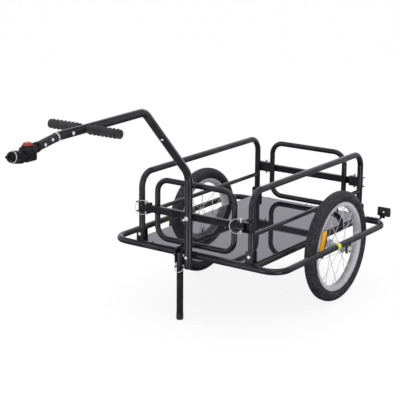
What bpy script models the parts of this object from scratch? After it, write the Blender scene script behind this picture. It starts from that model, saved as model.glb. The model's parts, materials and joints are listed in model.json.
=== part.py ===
# Bicycle cargo trailer: tube base frame, deck, two folding sides, two lift-off gates,
# tow arm with handle and quick-release coupler, prop stand and two spoked wheels.
# Metres, +Z up, floor at z = 0. The hitch points to -Y and the trailer's left is +X.
# Lengths along Y are measured from the axle, then the root empty centres the whole.

import math

import bmesh
import bpy
from mathutils import Matrix, Vector

# Clearances and stock
GAP = 0.0003
PLATE = 0.0025
TUBE_WALL = 0.0015
WELD = 0.0012
WELD_HALF = 0.004
TUBE_SIDES = 12
SMALL_SIDES = 8
WIRE_SIDES = 5
WIRE_STEPS = 11
BEND_STEP = math.radians(30)

# Base loop, inner rails and cross member
BASE_HALF_WIDTH = 0.345
BASE_FRONT = 0.472
BASE_REAR = 0.281
BASE_HEIGHT = 0.229
BASE_TUBE_R = 0.011
BASE_CORNER_R = 0.058
WHEEL_WELL = 0.107
INNER_RAIL_X = BASE_HALF_WIDTH - WHEEL_WELL
CROSS_MEMBER_Y = -0.090

# Deck panel
DECK_THICK = 0.005
DECK_LIP = 0.006
DECK_OVERHANG = 0.005
DECK_NOTCH_GAP = 0.0015
DECK_SCREW_INSET = 0.068
SCREW_HEAD_R = 0.0042

# Wheels
AXLE_DROP = 0.029
WHEEL_R = BASE_HEIGHT - AXLE_DROP
WHEEL_SEGMENTS = 24
TYRE_HALF_WIDTH = 0.0225
TYRE_TREAD_HALF = 0.009
TYRE_SHOULDER_HALF = 0.0195
TYRE_WALL = 0.0040
TYRE_HEIGHT = 0.0388
RIM_EDGE_R = WHEEL_R - TYRE_HEIGHT
RIM_HALF_WIDTH = 0.0145
RIM_LIP = 0.0015
RIM_BED_DEPTH = 0.0067
RIM_DEPTH = 0.0172
TUBE_SECTION_R = 0.0105
VALVE_R = 0.0028
VALVE_REACH = 0.0372
VALVE_TIP_R = RIM_EDGE_R - VALVE_REACH
HUB_HALF = 0.036
HUB_FLANGE_X = 0.0265
HUB_FLANGE_HALF = 0.0014
HUB_FLANGE_R = 0.0210
HUB_BARREL_R = 0.0115
HUB_END_R = 0.0135
BEARING_R = 0.0105
BEARING_WIDTH = 0.008
AXLE_R = 0.005
AXLE_NUT_R = 0.0095
AXLE_NUT_THICK = 0.006
AXLE_TAIL = 0.002
SPOKE_COUNT = 20
SPOKE_R = 0.0009
SPOKE_HUB_R = 0.0185
SPOKE_TWIST = math.radians(52)
SPOKE_LAYER = 0.002
DROPOUT_HALF_LENGTH = 0.020
DROPOUT_DROP = 0.017
DROPOUT_THICK = 0.004
DROPOUT_OFFSET = 0.004
SPOKE_REFLECTOR_LENGTH = 0.094
SPOKE_REFLECTOR_WIDTH = 0.032
SPOKE_REFLECTOR_THICK = 0.006
SPOKE_REFLECTOR_INSET = 0.0272
SPOKE_REFLECTOR_R = RIM_EDGE_R - SPOKE_REFLECTOR_INSET
SPOKE_REFLECTOR_X = 0.0150
SPOKE_REFLECTOR_TURN = math.radians(-17.5)

# Folding side panels
SIDE_INSET = 0.011
SIDE_X = INNER_RAIL_X - SIDE_INSET
SIDE_FRONT = 0.458
SIDE_REAR = 0.282
SIDE_RISE = 0.2515
SIDE_TOP = BASE_HEIGHT + SIDE_RISE
SIDE_TUBE_R = 0.011
SIDE_BEND_R = 0.052
FOLD_RISE = 0.0355
FOLD_HEIGHT = BASE_HEIGHT + FOLD_RISE
POST_TAIL = 0.012
MID_RAIL_RISE = 0.106
MID_RAIL_HEIGHT = BASE_HEIGHT + MID_RAIL_RISE
MID_RAIL_R = 0.0075
FOOT_WIDTH = 0.028
FOOT_RISE = 0.0195
FOOT_TOP = FOLD_HEIGHT + FOOT_RISE
FOOT_PLAY = 0.0006
BOLT_R = 0.003
BOLT_HEAD_R = 0.0062
BOLT_HEAD_HEIGHT = 0.0036
NUT_R = 0.0064
NUT_THICK = 0.005

# Gates, their locking jaws and ring pins
GATE_INSET = 0.068
GATE_HALF_WIDTH = SIDE_X - GATE_INSET
GATE_LOW_RISE = 0.033
GATE_LOW = BASE_HEIGHT + GATE_LOW_RISE
GATE_TOP_RISE = 0.241
GATE_TOP = BASE_HEIGHT + GATE_TOP_RISE
GATE_TUBE_R = 0.00975
GATE_CORNER_R = 0.045
GATE_RAIL_RISE = 0.137
GATE_RAIL_HEIGHT = BASE_HEIGHT + GATE_RAIL_RISE
GATE_RAIL_TALL = 0.025
GATE_RAIL_DEEP = 0.015
GATE_RAIL_END_GAP = 0.006
DRAIN_R = 0.0025
JAW_PIN_INSET = 0.031
JAW_PIN_X = SIDE_X - JAW_PIN_INSET
JAW_INNER_REACH = 0.019
JAW_SETBACK = 0.002
JAW_PLAY = 0.0028
JAW_LIP = 0.001
JAW_SLOT_OUT = 0.0085
PIN_R = 0.004
PIN_PLAY = 0.0005
PIN_HALF_LENGTH = 0.0265
PIN_HEAD_R = 0.0050
PIN_HEAD_HEIGHT = 0.003
RING_R = 0.0250
RING_WIRE_R = 0.0011
RING_EYE = 0.0215
FRONT_RING_TURN = math.radians(55)
REAR_RING_TURN = math.radians(35)

# Prop stand
STAND_X = -0.033
STAND_TUBE_R = 0.0115
STAND_PLAY = 0.0008
STAND_WEB = 0.002
STAND_WEB_GAP = 0.0022
STAND_PIVOT_RISE = 0.003
STAND_PIVOT_HEIGHT = BASE_HEIGHT + STAND_PIVOT_RISE
STAND_TAIL = 0.006
STAND_PIN_DROP = 0.036
STAND_BRACKET_RISE = 0.0225
STAND_BRACKET_TOP = BASE_HEIGHT + STAND_BRACKET_RISE
STAND_BRACKET_DROP = 0.043
STAND_BRACKET_BOTTOM = BASE_HEIGHT - STAND_BRACKET_DROP
STAND_NOSE = 0.012
STAND_SLOT_HALF = 0.0045
FOOT_CAP_R = 0.0124
FOOT_CAP_HEIGHT = 0.024
FOOT_CAP_FLOOR = 0.004
STAND_PIN_R = 0.003
STAND_RING_R = 0.0185
STAND_RING_TURN = math.radians(58)

# Tow arm and handle
ARM_TUBE_R = 0.0135
ARM_FOOT_DROP = 0.041
ARM_FOOT_HEIGHT = BASE_HEIGHT - ARM_FOOT_DROP
ARM_KNEE_RISE = 0.287
ARM_KNEE_HEIGHT = BASE_HEIGHT + ARM_KNEE_RISE
HITCH_HEIGHT = 0.7188
ARM_SHOULDER_REACH = 0.735
ARM_SHOULDER_RISE = 0.0432
ARM_NECK_REACH = 1.138
ARM_NECK_RISE = 0.0342
ARM_TIP_RUN = 0.1025
ARM_TIP_REACH = ARM_NECK_REACH + ARM_TIP_RUN
ARM_TIP_RISE = 0.0161
ARM_SHOULDER = (ARM_SHOULDER_REACH, HITCH_HEIGHT + ARM_SHOULDER_RISE)
ARM_NECK = (ARM_NECK_REACH, HITCH_HEIGHT + ARM_NECK_RISE)
ARM_TIP = (ARM_TIP_REACH, HITCH_HEIGHT + ARM_TIP_RISE)
ARM_KNEE_R = 0.080
ARM_SHOULDER_R = 0.050
ARM_NECK_R = 0.090
ARM_SCREW_OFFSETS = (-0.070, 0.021, 0.051)
ARM_SCREW_DROP = 0.003
CLIP_WIDTH = 0.004
CLIP_THICK = 0.0012
HANDLE_SETBACK = 0.118
HANDLE_Y = ARM_NECK_REACH - HANDLE_SETBACK
HANDLE_R = 0.0095
HANDLE_HALF = 0.134
GRIP_R = 0.0147
GRIP_WAIST = 0.0012
GRIP_INNER = 0.017
GRIP_END = 0.004
GRIP_RINGS = 4

# Coupler
HOUSING_SETBACK = 0.0035
HOUSING_LENGTH = 0.0440
HOUSING_BACK = ARM_TIP_REACH + HOUSING_SETBACK
HOUSING_FRONT = HOUSING_BACK + HOUSING_LENGTH
HOUSING_HALF_WIDTH = 0.018
HOUSING_DROP = 0.0143
HOUSING_RISE_BACK = 0.0287
HOUSING_RISE_FRONT = 0.0247
HOUSING_BOTTOM = HITCH_HEIGHT - HOUSING_DROP
HOUSING_TOP_BACK = HITCH_HEIGHT + HOUSING_RISE_BACK
HOUSING_TOP_FRONT = HITCH_HEIGHT + HOUSING_RISE_FRONT
HOUSING_BEVEL = 0.003
SPIGOT_LENGTH = 0.072
HITCH_TILT = math.radians(10)
SHANK_R = 0.006
SHANK_LENGTH = 0.030
GROOVE_FROM_FACE = 0.020
GROOVE_HALF = 0.0036
GROOVE_R = 0.004
STUB_R = 0.0186
STUB_LENGTH = 0.0340
COLLAR_R = 0.0191
COLLAR_WIDTH = 0.003
COLLAR_SEAT_R = 0.0150
STUB_END = STUB_LENGTH + COLLAR_WIDTH + 4 * GAP
NOSE_LENGTH = 0.0140
NOSE_WALL = 0.0015
NOSE_FLARE_R = 0.0070
NOSE_MOUTH_R = 0.0068
BALL_R = 0.0075
BALL_SET = 0.0096
BALL_CENTRE = STUB_END + BALL_SET
STUD_R = 0.0030
STUD_KNOB_R = 0.0045
STUD_TIP = 0.0640
BUTTON_SETBACK = 0.0225
BUTTON_Y = HOUSING_FRONT - BUTTON_SETBACK
BUTTON_HALF_LENGTH = 0.0128
BUTTON_HALF_WIDTH = 0.0108
BUTTON_PROUD = 0.0140
BUTTON_SUNK = 0.0030
BUTTON_CAP = 0.0070
BUTTON_FLOOR_GAP = 0.0050
BUTTON_TOP = HOUSING_TOP_FRONT + BUTTON_PROUD
BUTTON_SKIRT = HOUSING_TOP_FRONT - BUTTON_SUNK
BUTTON_CEILING = BUTTON_TOP - BUTTON_CAP
BUTTON_POCKET = BUTTON_SKIRT - BUTTON_FLOOR_GAP
BUTTON_PLAY = 0.0005
BUTTON_TRAVEL = 0.004
BUTTON_CORNER_R = 0.0065
FORK_HALF_WIDTH = 0.009
FORK_THICK = 0.003
FORK_STEM_HALF = 0.003
FORK_NARROW = 0.0044
FORK_WIDE_R = 0.0066
SPRING_R = 0.0058
SPRING_WIRE = 0.0011

# Rear reflector
REFLECTOR_INSET = 0.0165
REFLECTOR_X = BASE_HALF_WIDTH - REFLECTOR_INSET
REFLECTOR_RISE = 0.0395
REFLECTOR_HEIGHT = BASE_HEIGHT + REFLECTOR_RISE
REFLECTOR_HALF_WIDTH = 0.026
REFLECTOR_HALF_HEIGHT = 0.0170
REFLECTOR_BACK_THICK = 0.005
REFLECTOR_LENS_THICK = 0.004
REFLECTOR_ARM_REACH = 0.0665
REFLECTOR_ARM_X = REFLECTOR_X - REFLECTOR_ARM_REACH
REFLECTOR_ARM_HALF = 0.0065
REFLECTOR_ARM_THICK = 0.002
REFLECTOR_TAB_WIDTH = 0.016
REFLECTOR_TAB_RISE = 0.006
REFLECTOR_RIM = 0.0025
REFLECTOR_CORNER_R = 0.005

# Values that follow from the sizes above
DECK_Z = BASE_HEIGHT + BASE_TUBE_R + GAP
DECK_TOP = DECK_Z + DECK_THICK
WHEEL_X = (BASE_HALF_WIDTH + INNER_RAIL_X) / 2
RAIL_OFFSET = GATE_TUBE_R + GAP + GATE_RAIL_DEEP / 2
RAIL_FACE = GATE_TUBE_R + GAP + GATE_RAIL_DEEP
RAIL_HALF = SIDE_X - SIDE_TUBE_R - GATE_RAIL_END_GAP
ARM_Y = -max(BASE_FRONT + BASE_TUBE_R, SIDE_FRONT + RAIL_FACE) - GAP - ARM_TUBE_R
BOLT_HOLE_R = BOLT_R + GAP
FOOT_FACE = SIDE_TUBE_R + FOOT_PLAY + PLATE + GAP
STAND_WEB_FRONT = -(BASE_FRONT + BASE_TUBE_R + GAP + STAND_WEB)
STAND_Y = STAND_WEB_FRONT - STAND_WEB_GAP - STAND_TUBE_R
RING_OFFSET = math.sqrt(RING_R**2 - RING_EYE**2)
RING_REACH = RING_OFFSET + RING_R + RING_WIRE_R
HITCH_AXIS = Vector((0, -math.cos(HITCH_TILT), math.sin(HITCH_TILT)))
HITCH_FACE = Vector((0, -HOUSING_FRONT, HITCH_HEIGHT))
NOSE_POINT = HITCH_FACE + HITCH_AXIS * STUD_TIP
REAR_PIN_Y = SIDE_REAR + RAIL_OFFSET
REARMOST = REAR_PIN_Y + RING_REACH * math.cos(REAR_RING_TURN)
AXLE_Y = -(NOSE_POINT.y + REARMOST) / 2

X_AXIS = Vector((1, 0, 0))
Y_AXIS = Vector((0, 1, 0))
Z_AXIS = Vector((0, 0, 1))
SIDES = {"left": 1, "right": -1}
ENDS = {"front": -1, "rear": 1}

materials = {}
homes = {}


def clear_scene():
    for item in list(bpy.data.objects):
        bpy.data.objects.remove(item, do_unlink=True)


def material(name, colour, roughness, metallic):
    made = bpy.data.materials.new(name)
    made.use_nodes = True
    shader = made.node_tree.nodes["Principled BSDF"]
    shader.inputs["Base Color"].default_value = (*colour, 1)
    shader.inputs["Roughness"].default_value = roughness
    shader.inputs["Metallic"].default_value = metallic
    made.diffuse_color = (*colour, 1)
    materials[name] = made


def make_materials():
    material("black_powder_coat", (0.016, 0.016, 0.018), 0.38, 0.2)
    material("grey_deck", (0.30, 0.30, 0.32), 0.45, 0.0)
    material("tyre_rubber", (0.030, 0.030, 0.033), 0.85, 0.0)
    material("soft_rubber", (0.020, 0.020, 0.022), 0.75, 0.0)
    material("rim_aluminium", (0.60, 0.60, 0.62), 0.38, 0.9)
    material("zinc_steel", (0.65, 0.65, 0.67), 0.28, 1.0)
    material("black_plastic", (0.012, 0.012, 0.014), 0.42, 0.0)
    material("red_plastic", (0.55, 0.05, 0.03), 0.35, 0.0)
    material("amber_lens", (0.85, 0.32, 0.02), 0.20, 0.0)
    material("red_lens", (0.55, 0.02, 0.02), 0.20, 0.0)


def home(name, at, parent=None):
    # An empty on a joint's axis: the pieces that move with the joint hang on it
    empty = bpy.data.objects.new(name, None)
    bpy.context.scene.collection.objects.link(empty)
    empty.empty_display_size = 0.03
    homes[name] = Vector(at)
    if parent:
        empty.parent = bpy.data.objects[parent]
        empty.location = Vector(at) - homes[parent]
    else:
        empty.location = at
    return name


def put(name, bm, where, look, smooth=35):
    # The mesh is drawn in the trailer's own lengths, then moved to its empty
    mesh = bpy.data.meshes.new(name)
    bm.to_mesh(mesh)
    bm.free()
    mesh.transform(Matrix.Translation(-homes[where]))
    mesh.shade_smooth()
    mesh.set_sharp_from_angle(angle=math.radians(smooth))
    if look:
        mesh.materials.append(materials[look])
    item = bpy.data.objects.new(name, mesh)
    bpy.context.scene.collection.objects.link(item)
    item.parent = bpy.data.objects[where]
    return item


def shape_with(item, bm, where, operation):
    tool = put(item.name + "_" + operation.lower() + "_tool", bm, where, None)
    tool.hide_render = True
    tool.display_type = "WIRE"
    change = item.modifiers.new(operation.lower(), "BOOLEAN")
    change.operation = operation
    change.solver = "EXACT"
    change.object = tool
    return tool


def joined(parts):
    whole = bmesh.new()
    for bm in parts:
        mesh = bpy.data.meshes.new("part")
        bm.to_mesh(mesh)
        bm.free()
        whole.from_mesh(mesh)
        bpy.data.meshes.remove(mesh)
    return whole


def circle(radius, sides):
    steps = [2 * math.pi * i / sides for i in range(sides)]
    return [(radius * math.cos(a), radius * math.sin(a)) for a in steps]


def rectangle(half_a, half_b):
    return [(half_a, half_b), (-half_a, half_b), (-half_a, -half_b), (half_a, -half_b)]


def rounded_rectangle(half_a, half_b, radius, steps):
    points = []
    corners = ((1, 1), (-1, 1), (-1, -1), (1, -1))
    for quarter, (sign_a, sign_b) in enumerate(corners):
        for i in range(steps + 1):
            angle = math.pi / 2 * (quarter + i / steps)
            a = sign_a * (half_a - radius) + radius * math.cos(angle)
            b = sign_b * (half_b - radius) + radius * math.sin(angle)
            points.append((a, b))
    return points


def bent_path(corners, radii, closed=False):
    # Straight runs joined by arcs: each entry is a point and its direction
    points = [Vector(corner) for corner in corners]
    count = len(points)
    path = []
    if not closed:
        path.append((points[0], (points[1] - points[0]).normalized()))
    for i in range(0 if closed else 1, count if closed else count - 1):
        before = (points[i] - points[i - 1]).normalized()
        after = (points[(i + 1) % count] - points[i]).normalized()
        turn = before.angle(after)
        radius = radii[i] if closed else radii[i - 1]
        axis = before.cross(after).normalized()
        start = points[i] - before * radius * math.tan(turn / 2)
        centre = start + axis.cross(before) * radius
        steps = max(2, math.ceil(turn / BEND_STEP))
        for k in range(steps + 1):
            spin = Matrix.Rotation(turn * k / steps, 3, axis)
            path.append((centre + spin @ (start - centre), spin @ before))
    if not closed:
        path.append((points[-1], (points[-1] - points[-2]).normalized()))
    return path


def arc_path(centre, toward, across, radius, half_angle, steps):
    # An arc about centre, from one side of toward to the other, in the plane with across
    path = []
    for i in range(steps + 1):
        angle = half_angle * (2 * i / steps - 1)
        point = centre + toward * radius * math.cos(angle) + across * radius * math.sin(angle)
        direction = -toward * math.sin(angle) + across * math.cos(angle)
        path.append((point, direction.normalized()))
    return path


def sweep(path, normal, outline, bore=None, closed=False):
    # Runs an outline along a flat path; a bore makes it a tube
    bm = bmesh.new()

    def rings(shape):
        made = []
        for point, direction in path:
            side = direction.cross(normal)
            made.append([bm.verts.new(point + normal * a + side * b) for a, b in shape])
        return made

    outer = rings(outline)
    inner = rings(bore) if bore else None
    count = len(outline)
    runs = len(path) if closed else len(path) - 1
    for k in range(runs):
        for i in range(count):
            j = (i + 1) % count
            low, high = outer[k], outer[(k + 1) % len(path)]
            bm.faces.new((low[i], low[j], high[j], high[i]))
            if inner:
                low, high = inner[k], inner[(k + 1) % len(path)]
                bm.faces.new((low[j], low[i], high[i], high[j]))
    if not closed and inner:
        for i in range(count):
            j = (i + 1) % count
            bm.faces.new((outer[0][j], outer[0][i], inner[0][i], inner[0][j]))
            bm.faces.new((outer[-1][i], outer[-1][j], inner[-1][j], inner[-1][i]))
    if not closed and not inner:
        bm.faces.new(list(reversed(outer[0])))
        bm.faces.new(outer[-1])
    return bm


def tube(path, normal, radius, wall=TUBE_WALL, sides=TUBE_SIDES, closed=False):
    bore = circle(radius - wall, sides) if wall else None
    return sweep(path, normal, circle(radius, sides), bore, closed)


def line(start, end):
    return bent_path((start, end), ())


def turned(profile, start, axis, sides, ring=False):
    # Spins (distance along the axis, radius) points; a ring profile closes on itself
    bm = bmesh.new()
    axis = Vector(axis).normalized()
    first = Z_AXIS if abs(axis.dot(Z_AXIS)) < 0.9 else X_AXIS
    first = (first - axis * first.dot(axis)).normalized()
    second = axis.cross(first)
    loops = []
    for along, radius in profile:
        centre = Vector(start) + axis * along
        if radius == 0:
            loops.append([bm.verts.new(centre)])
            continue
        loop = []
        for a, b in circle(radius, sides):
            loop.append(bm.verts.new(centre + first * a + second * b))
        loops.append(loop)
    for k in range(len(loops) if ring else len(loops) - 1):
        low, high = loops[k], loops[(k + 1) % len(loops)]
        for i in range(sides):
            j = (i + 1) % sides
            corners = [low[i % len(low)], low[j % len(low)], high[j % len(high)], high[i % len(high)]]
            unique = list(dict.fromkeys(corners))
            if len(unique) > 2:
                bm.faces.new(unique)
    bmesh.ops.recalc_face_normals(bm, faces=bm.faces)
    return bm


def rod(start, end, radius, sides=SMALL_SIDES):
    start = Vector(start)
    reach = Vector(end) - start
    profile = [(0, 0), (0, radius), (reach.length, radius), (reach.length, 0)]
    return turned(profile, start, reach, sides)


def prism(outline, axis, low, high):
    # Pushes an outline along X, Y or Z; its two numbers fill the other axes in order
    bm = bmesh.new()

    def corner(a, b, level):
        values = {"X": (level, a, b), "Y": (a, level, b), "Z": (a, b, level)}
        return bm.verts.new(values[axis])

    bottom = [corner(a, b, low) for a, b in outline]
    top = [corner(a, b, high) for a, b in outline]
    bm.faces.new(bottom)
    bm.faces.new(top)
    for i in range(len(outline)):
        j = (i + 1) % len(outline)
        bm.faces.new((bottom[i], bottom[j], top[j], top[i]))
    bmesh.ops.recalc_face_normals(bm, faces=bm.faces)
    return bm


def box(low, high):
    outline = [(low[0], low[1]), (high[0], low[1]), (high[0], high[1]), (low[0], high[1])]
    return prism(outline, "Z", low[2], high[2])


def bolt(head_seat, direction, length, radius=BOLT_R, head_r=BOLT_HEAD_R, head=BOLT_HEAD_HEIGHT):
    # A domed bolt: its head's underside sits at head_seat and its shank runs along direction
    profile = [(-head, 0), (-head, head_r * 0.35), (-head * 0.65, head_r * 0.8), (-head * 0.2, head_r)]
    profile += [(0, head_r), (0, radius), (length, radius), (length, 0)]
    return turned(profile, head_seat, direction, SMALL_SIDES)


def hexagon(seat, direction, radius=NUT_R, thick=NUT_THICK):
    return turned([(0, 0), (0, radius), (thick, radius), (thick, 0)], seat, direction, 6)


def put_bolt_and_nut(name, seat, direction, grip, where, head=BOLT_HEAD_HEIGHT):
    # The nut is done up on the shank, so both are one solid
    shank = grip + NUT_THICK + BOLT_R
    item = put(name, bolt(seat, direction, shank, head=head), where, "zinc_steel")
    shape_with(item, hexagon(seat + direction * grip, direction), where, "UNION")


def screw_head(seat, direction):
    # A small domed head let into the surface it holds
    radius = SCREW_HEAD_R
    profile = [(-radius / 2, 0), (-radius / 2, radius * 0.4), (-radius / 4, radius * 0.85)]
    profile += [(0, radius), (radius / 4, radius), (radius / 4, 0)]
    return turned(profile, seat, direction, SMALL_SIDES)


def build_base_frame():
    loop = bent_path(
        (
            (BASE_HALF_WIDTH, -BASE_FRONT, BASE_HEIGHT),
            (BASE_HALF_WIDTH, BASE_REAR, BASE_HEIGHT),
            (-BASE_HALF_WIDTH, BASE_REAR, BASE_HEIGHT),
            (-BASE_HALF_WIDTH, -BASE_FRONT, BASE_HEIGHT),
        ),
        [BASE_CORNER_R] * 4,
        closed=True,
    )
    shape = tube(loop, Z_AXIS, BASE_TUBE_R, closed=True)
    frame = put("base_loop", shape, "trailer", "black_powder_coat")
    fittings = []
    bolt_holes = []
    for side_sign in SIDES.values():
        fittings.append(dropout(side_sign, BASE_HALF_WIDTH - DROPOUT_OFFSET))
        for end_sign in ENDS.values():
            fittings.append(foot_bracket(side_sign, end_sign))
            middle = Vector((side_sign * SIDE_X, post_y(end_sign), FOLD_HEIGHT))
            reach = Y_AXIS * 2 * FOOT_FACE
            bolt_holes.append(rod(middle - reach, middle + reach, BOLT_HOLE_R))
    shape_with(frame, joined(fittings), "trailer", "UNION")
    ahead = -BASE_FRONT - 2 * BASE_TUBE_R
    behind = -BASE_FRONT + 2 * BASE_TUBE_R
    bolt_holes.append(rod((0, ahead, BASE_HEIGHT), (0, behind, BASE_HEIGHT), BOLT_HOLE_R))
    shape_with(frame, joined(bolt_holes), "trailer", "DIFFERENCE")
    reach = BASE_TUBE_R + GAP
    for side, sign in SIDES.items():
        x = sign * INNER_RAIL_X
        run = line((x, -BASE_FRONT + reach, BASE_HEIGHT), (x, BASE_REAR - reach, BASE_HEIGHT))
        rail = put(side + "_inner_rail", tube(run, Z_AXIS, BASE_TUBE_R), "trailer", "black_powder_coat")
        shape_with(rail, dropout(sign, INNER_RAIL_X + DROPOUT_OFFSET), "trailer", "UNION")
    inside = INNER_RAIL_X - reach
    run = line((-inside, CROSS_MEMBER_Y, BASE_HEIGHT), (inside, CROSS_MEMBER_Y, BASE_HEIGHT))
    put("cross_member", tube(run, Z_AXIS, BASE_TUBE_R), "trailer", "black_powder_coat")


def deck_screw_spots():
    spacing = INNER_RAIL_X - DECK_SCREW_INSET
    spots = [(step * spacing, BASE_REAR) for step in (-1, 0, 1)]
    return spots + [(step * spacing, -BASE_FRONT) for step in (-1, 1)]


def build_deck():
    half = INNER_RAIL_X + DECK_OVERHANG
    front = -BASE_FRONT - DECK_LIP
    rear = BASE_REAR + DECK_LIP
    clear = SIDE_TUBE_R + FOOT_PLAY + PLATE + DECK_NOTCH_GAP
    inside = SIDE_X - FOOT_WIDTH / 2 - DECK_NOTCH_GAP
    notch_front = -SIDE_FRONT + clear
    notch_rear = SIDE_REAR - clear
    right_edge = [
        (inside, front),
        (inside, notch_front),
        (half, notch_front),
        (half, notch_rear),
        (inside, notch_rear),
        (inside, rear),
    ]
    left_edge = [(-x, y) for x, y in reversed(right_edge)]
    deck = prism(right_edge + left_edge, "Z", DECK_Z, DECK_TOP)
    panel = put("deck_panel", deck, "trailer", "grey_deck")
    heads = [screw_head(Vector((x, y, DECK_TOP)), -Z_AXIS) for x, y in deck_screw_spots()]
    shape_with(panel, joined(heads), "trailer", "UNION")


def post_y(end_sign):
    # Where the posts stand at the front or the rear
    return SIDE_REAR if end_sign > 0 else -SIDE_FRONT


def foot_bracket(side_sign, end_sign):
    # An upright channel welded to the end bar: its two cheeks hold a post's foot
    y = post_y(end_sign)
    bar = BASE_REAR if end_sign > 0 else -BASE_FRONT
    inner = SIDE_TUBE_R + FOOT_PLAY
    outer = inner + PLATE
    floor = DECK_Z + PLATE
    weld_low = BASE_HEIGHT + BASE_TUBE_R - WELD
    profile = [
        (y - outer, DECK_Z),
        (bar - WELD_HALF, DECK_Z),
        (bar - WELD_HALF, weld_low),
        (bar + WELD_HALF, weld_low),
        (bar + WELD_HALF, DECK_Z),
        (y + outer, DECK_Z),
        (y + outer, FOOT_TOP),
        (y + inner, FOOT_TOP),
        (y + inner, floor),
        (y - inner, floor),
        (y - inner, FOOT_TOP),
        (y - outer, FOOT_TOP),
    ]
    x = side_sign * SIDE_X
    return prism(profile, "X", x - FOOT_WIDTH / 2, x + FOOT_WIDTH / 2)


def dropout(sign, middle):
    # A plate welded under a bar, with a round lower edge and a slot that opens downward
    top = BASE_HEIGHT - BASE_TUBE_R + WELD
    bottom = WHEEL_R - DROPOUT_DROP
    half = DROPOUT_HALF_LENGTH
    slot = AXLE_R + GAP
    corner = half * 0.4
    points = [(-half, top), (-half, bottom + corner), (corner - half, bottom), (-slot, bottom)]
    for i in range(7):
        angle = math.pi - math.pi * i / 6
        points.append((slot * math.cos(angle), WHEEL_R + slot * math.sin(angle)))
    points += [(slot, bottom), (half - corner, bottom), (half, bottom + corner), (half, top)]
    low, high = sorted((sign * (middle - DROPOUT_THICK / 2), sign * (middle + DROPOUT_THICK / 2)))
    return prism(points, "X", low, high)


def build_frame_bolts():
    for side, side_sign in SIDES.items():
        for end, end_sign in ENDS.items():
            middle = Vector((side_sign * SIDE_X, post_y(end_sign), FOLD_HEIGHT))
            inward = -end_sign * Y_AXIS
            name = end + "_" + side + "_fold_bolt"
            put_bolt_and_nut(name, middle - inward * FOOT_FACE, inward, 2 * FOOT_FACE, "trailer")
    stand_face = STAND_TUBE_R + STAND_PLAY + PLATE + GAP
    seat = Vector((STAND_X + stand_face, STAND_Y, STAND_PIVOT_HEIGHT))
    flat_head = BOLT_HEAD_HEIGHT * 0.75
    put_bolt_and_nut("stand_pivot_bolt", seat, -X_AXIS, 2 * stand_face, "trailer", flat_head)
    inside = (BOLT_R + GAP) / math.cos(math.pi / 6)
    profile = [(0, inside), (0, NUT_R), (NUT_THICK, NUT_R), (NUT_THICK, inside)]
    seat = (0, -BASE_FRONT + BASE_TUBE_R + GAP, BASE_HEIGHT)
    put("tow_arm_foot_nut", turned(profile, seat, Y_AXIS, 6, ring=True), "trailer", "zinc_steel")


def build_side_panel(side, sign):
    x = sign * SIDE_X
    where = home(side + "_side_fold", (x, 0, FOLD_HEIGHT), "trailer")
    foot = FOLD_HEIGHT - POST_TAIL
    heights = (foot, SIDE_TOP, SIDE_TOP, foot)
    corners = [(x, y, z) for y, z in zip((-SIDE_FRONT, -SIDE_FRONT, SIDE_REAR, SIDE_REAR), heights)]
    hoop = tube(bent_path(corners, (SIDE_BEND_R, SIDE_BEND_R)), X_AXIS, SIDE_TUBE_R)
    item = put(side + "_side_hoop", hoop, where, "black_powder_coat")
    inset = SIDE_TUBE_R + GAP
    run = line((x, -SIDE_FRONT + inset, MID_RAIL_HEIGHT), (x, SIDE_REAR - inset, MID_RAIL_HEIGHT))
    put(side + "_side_rail", tube(run, X_AXIS, MID_RAIL_R), where, "black_powder_coat")
    jaws = []
    tools = []
    for end_sign in ENDS.values():
        jaw, cuts = gate_jaw(sign, end_sign)
        jaws.append(jaw)
        tools += cuts
    welded = shape_with(item, joined(jaws), where, "UNION")
    shape_with(welded, joined(tools), where, "DIFFERENCE")
    reach = 2 * SIDE_TUBE_R
    holes = []
    for y in (-SIDE_FRONT, SIDE_REAR):
        holes.append(rod((x, y - reach, FOLD_HEIGHT), (x, y + reach, FOLD_HEIGHT), BOLT_HOLE_R))
    shape_with(item, joined(holes), where, "DIFFERENCE")


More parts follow.
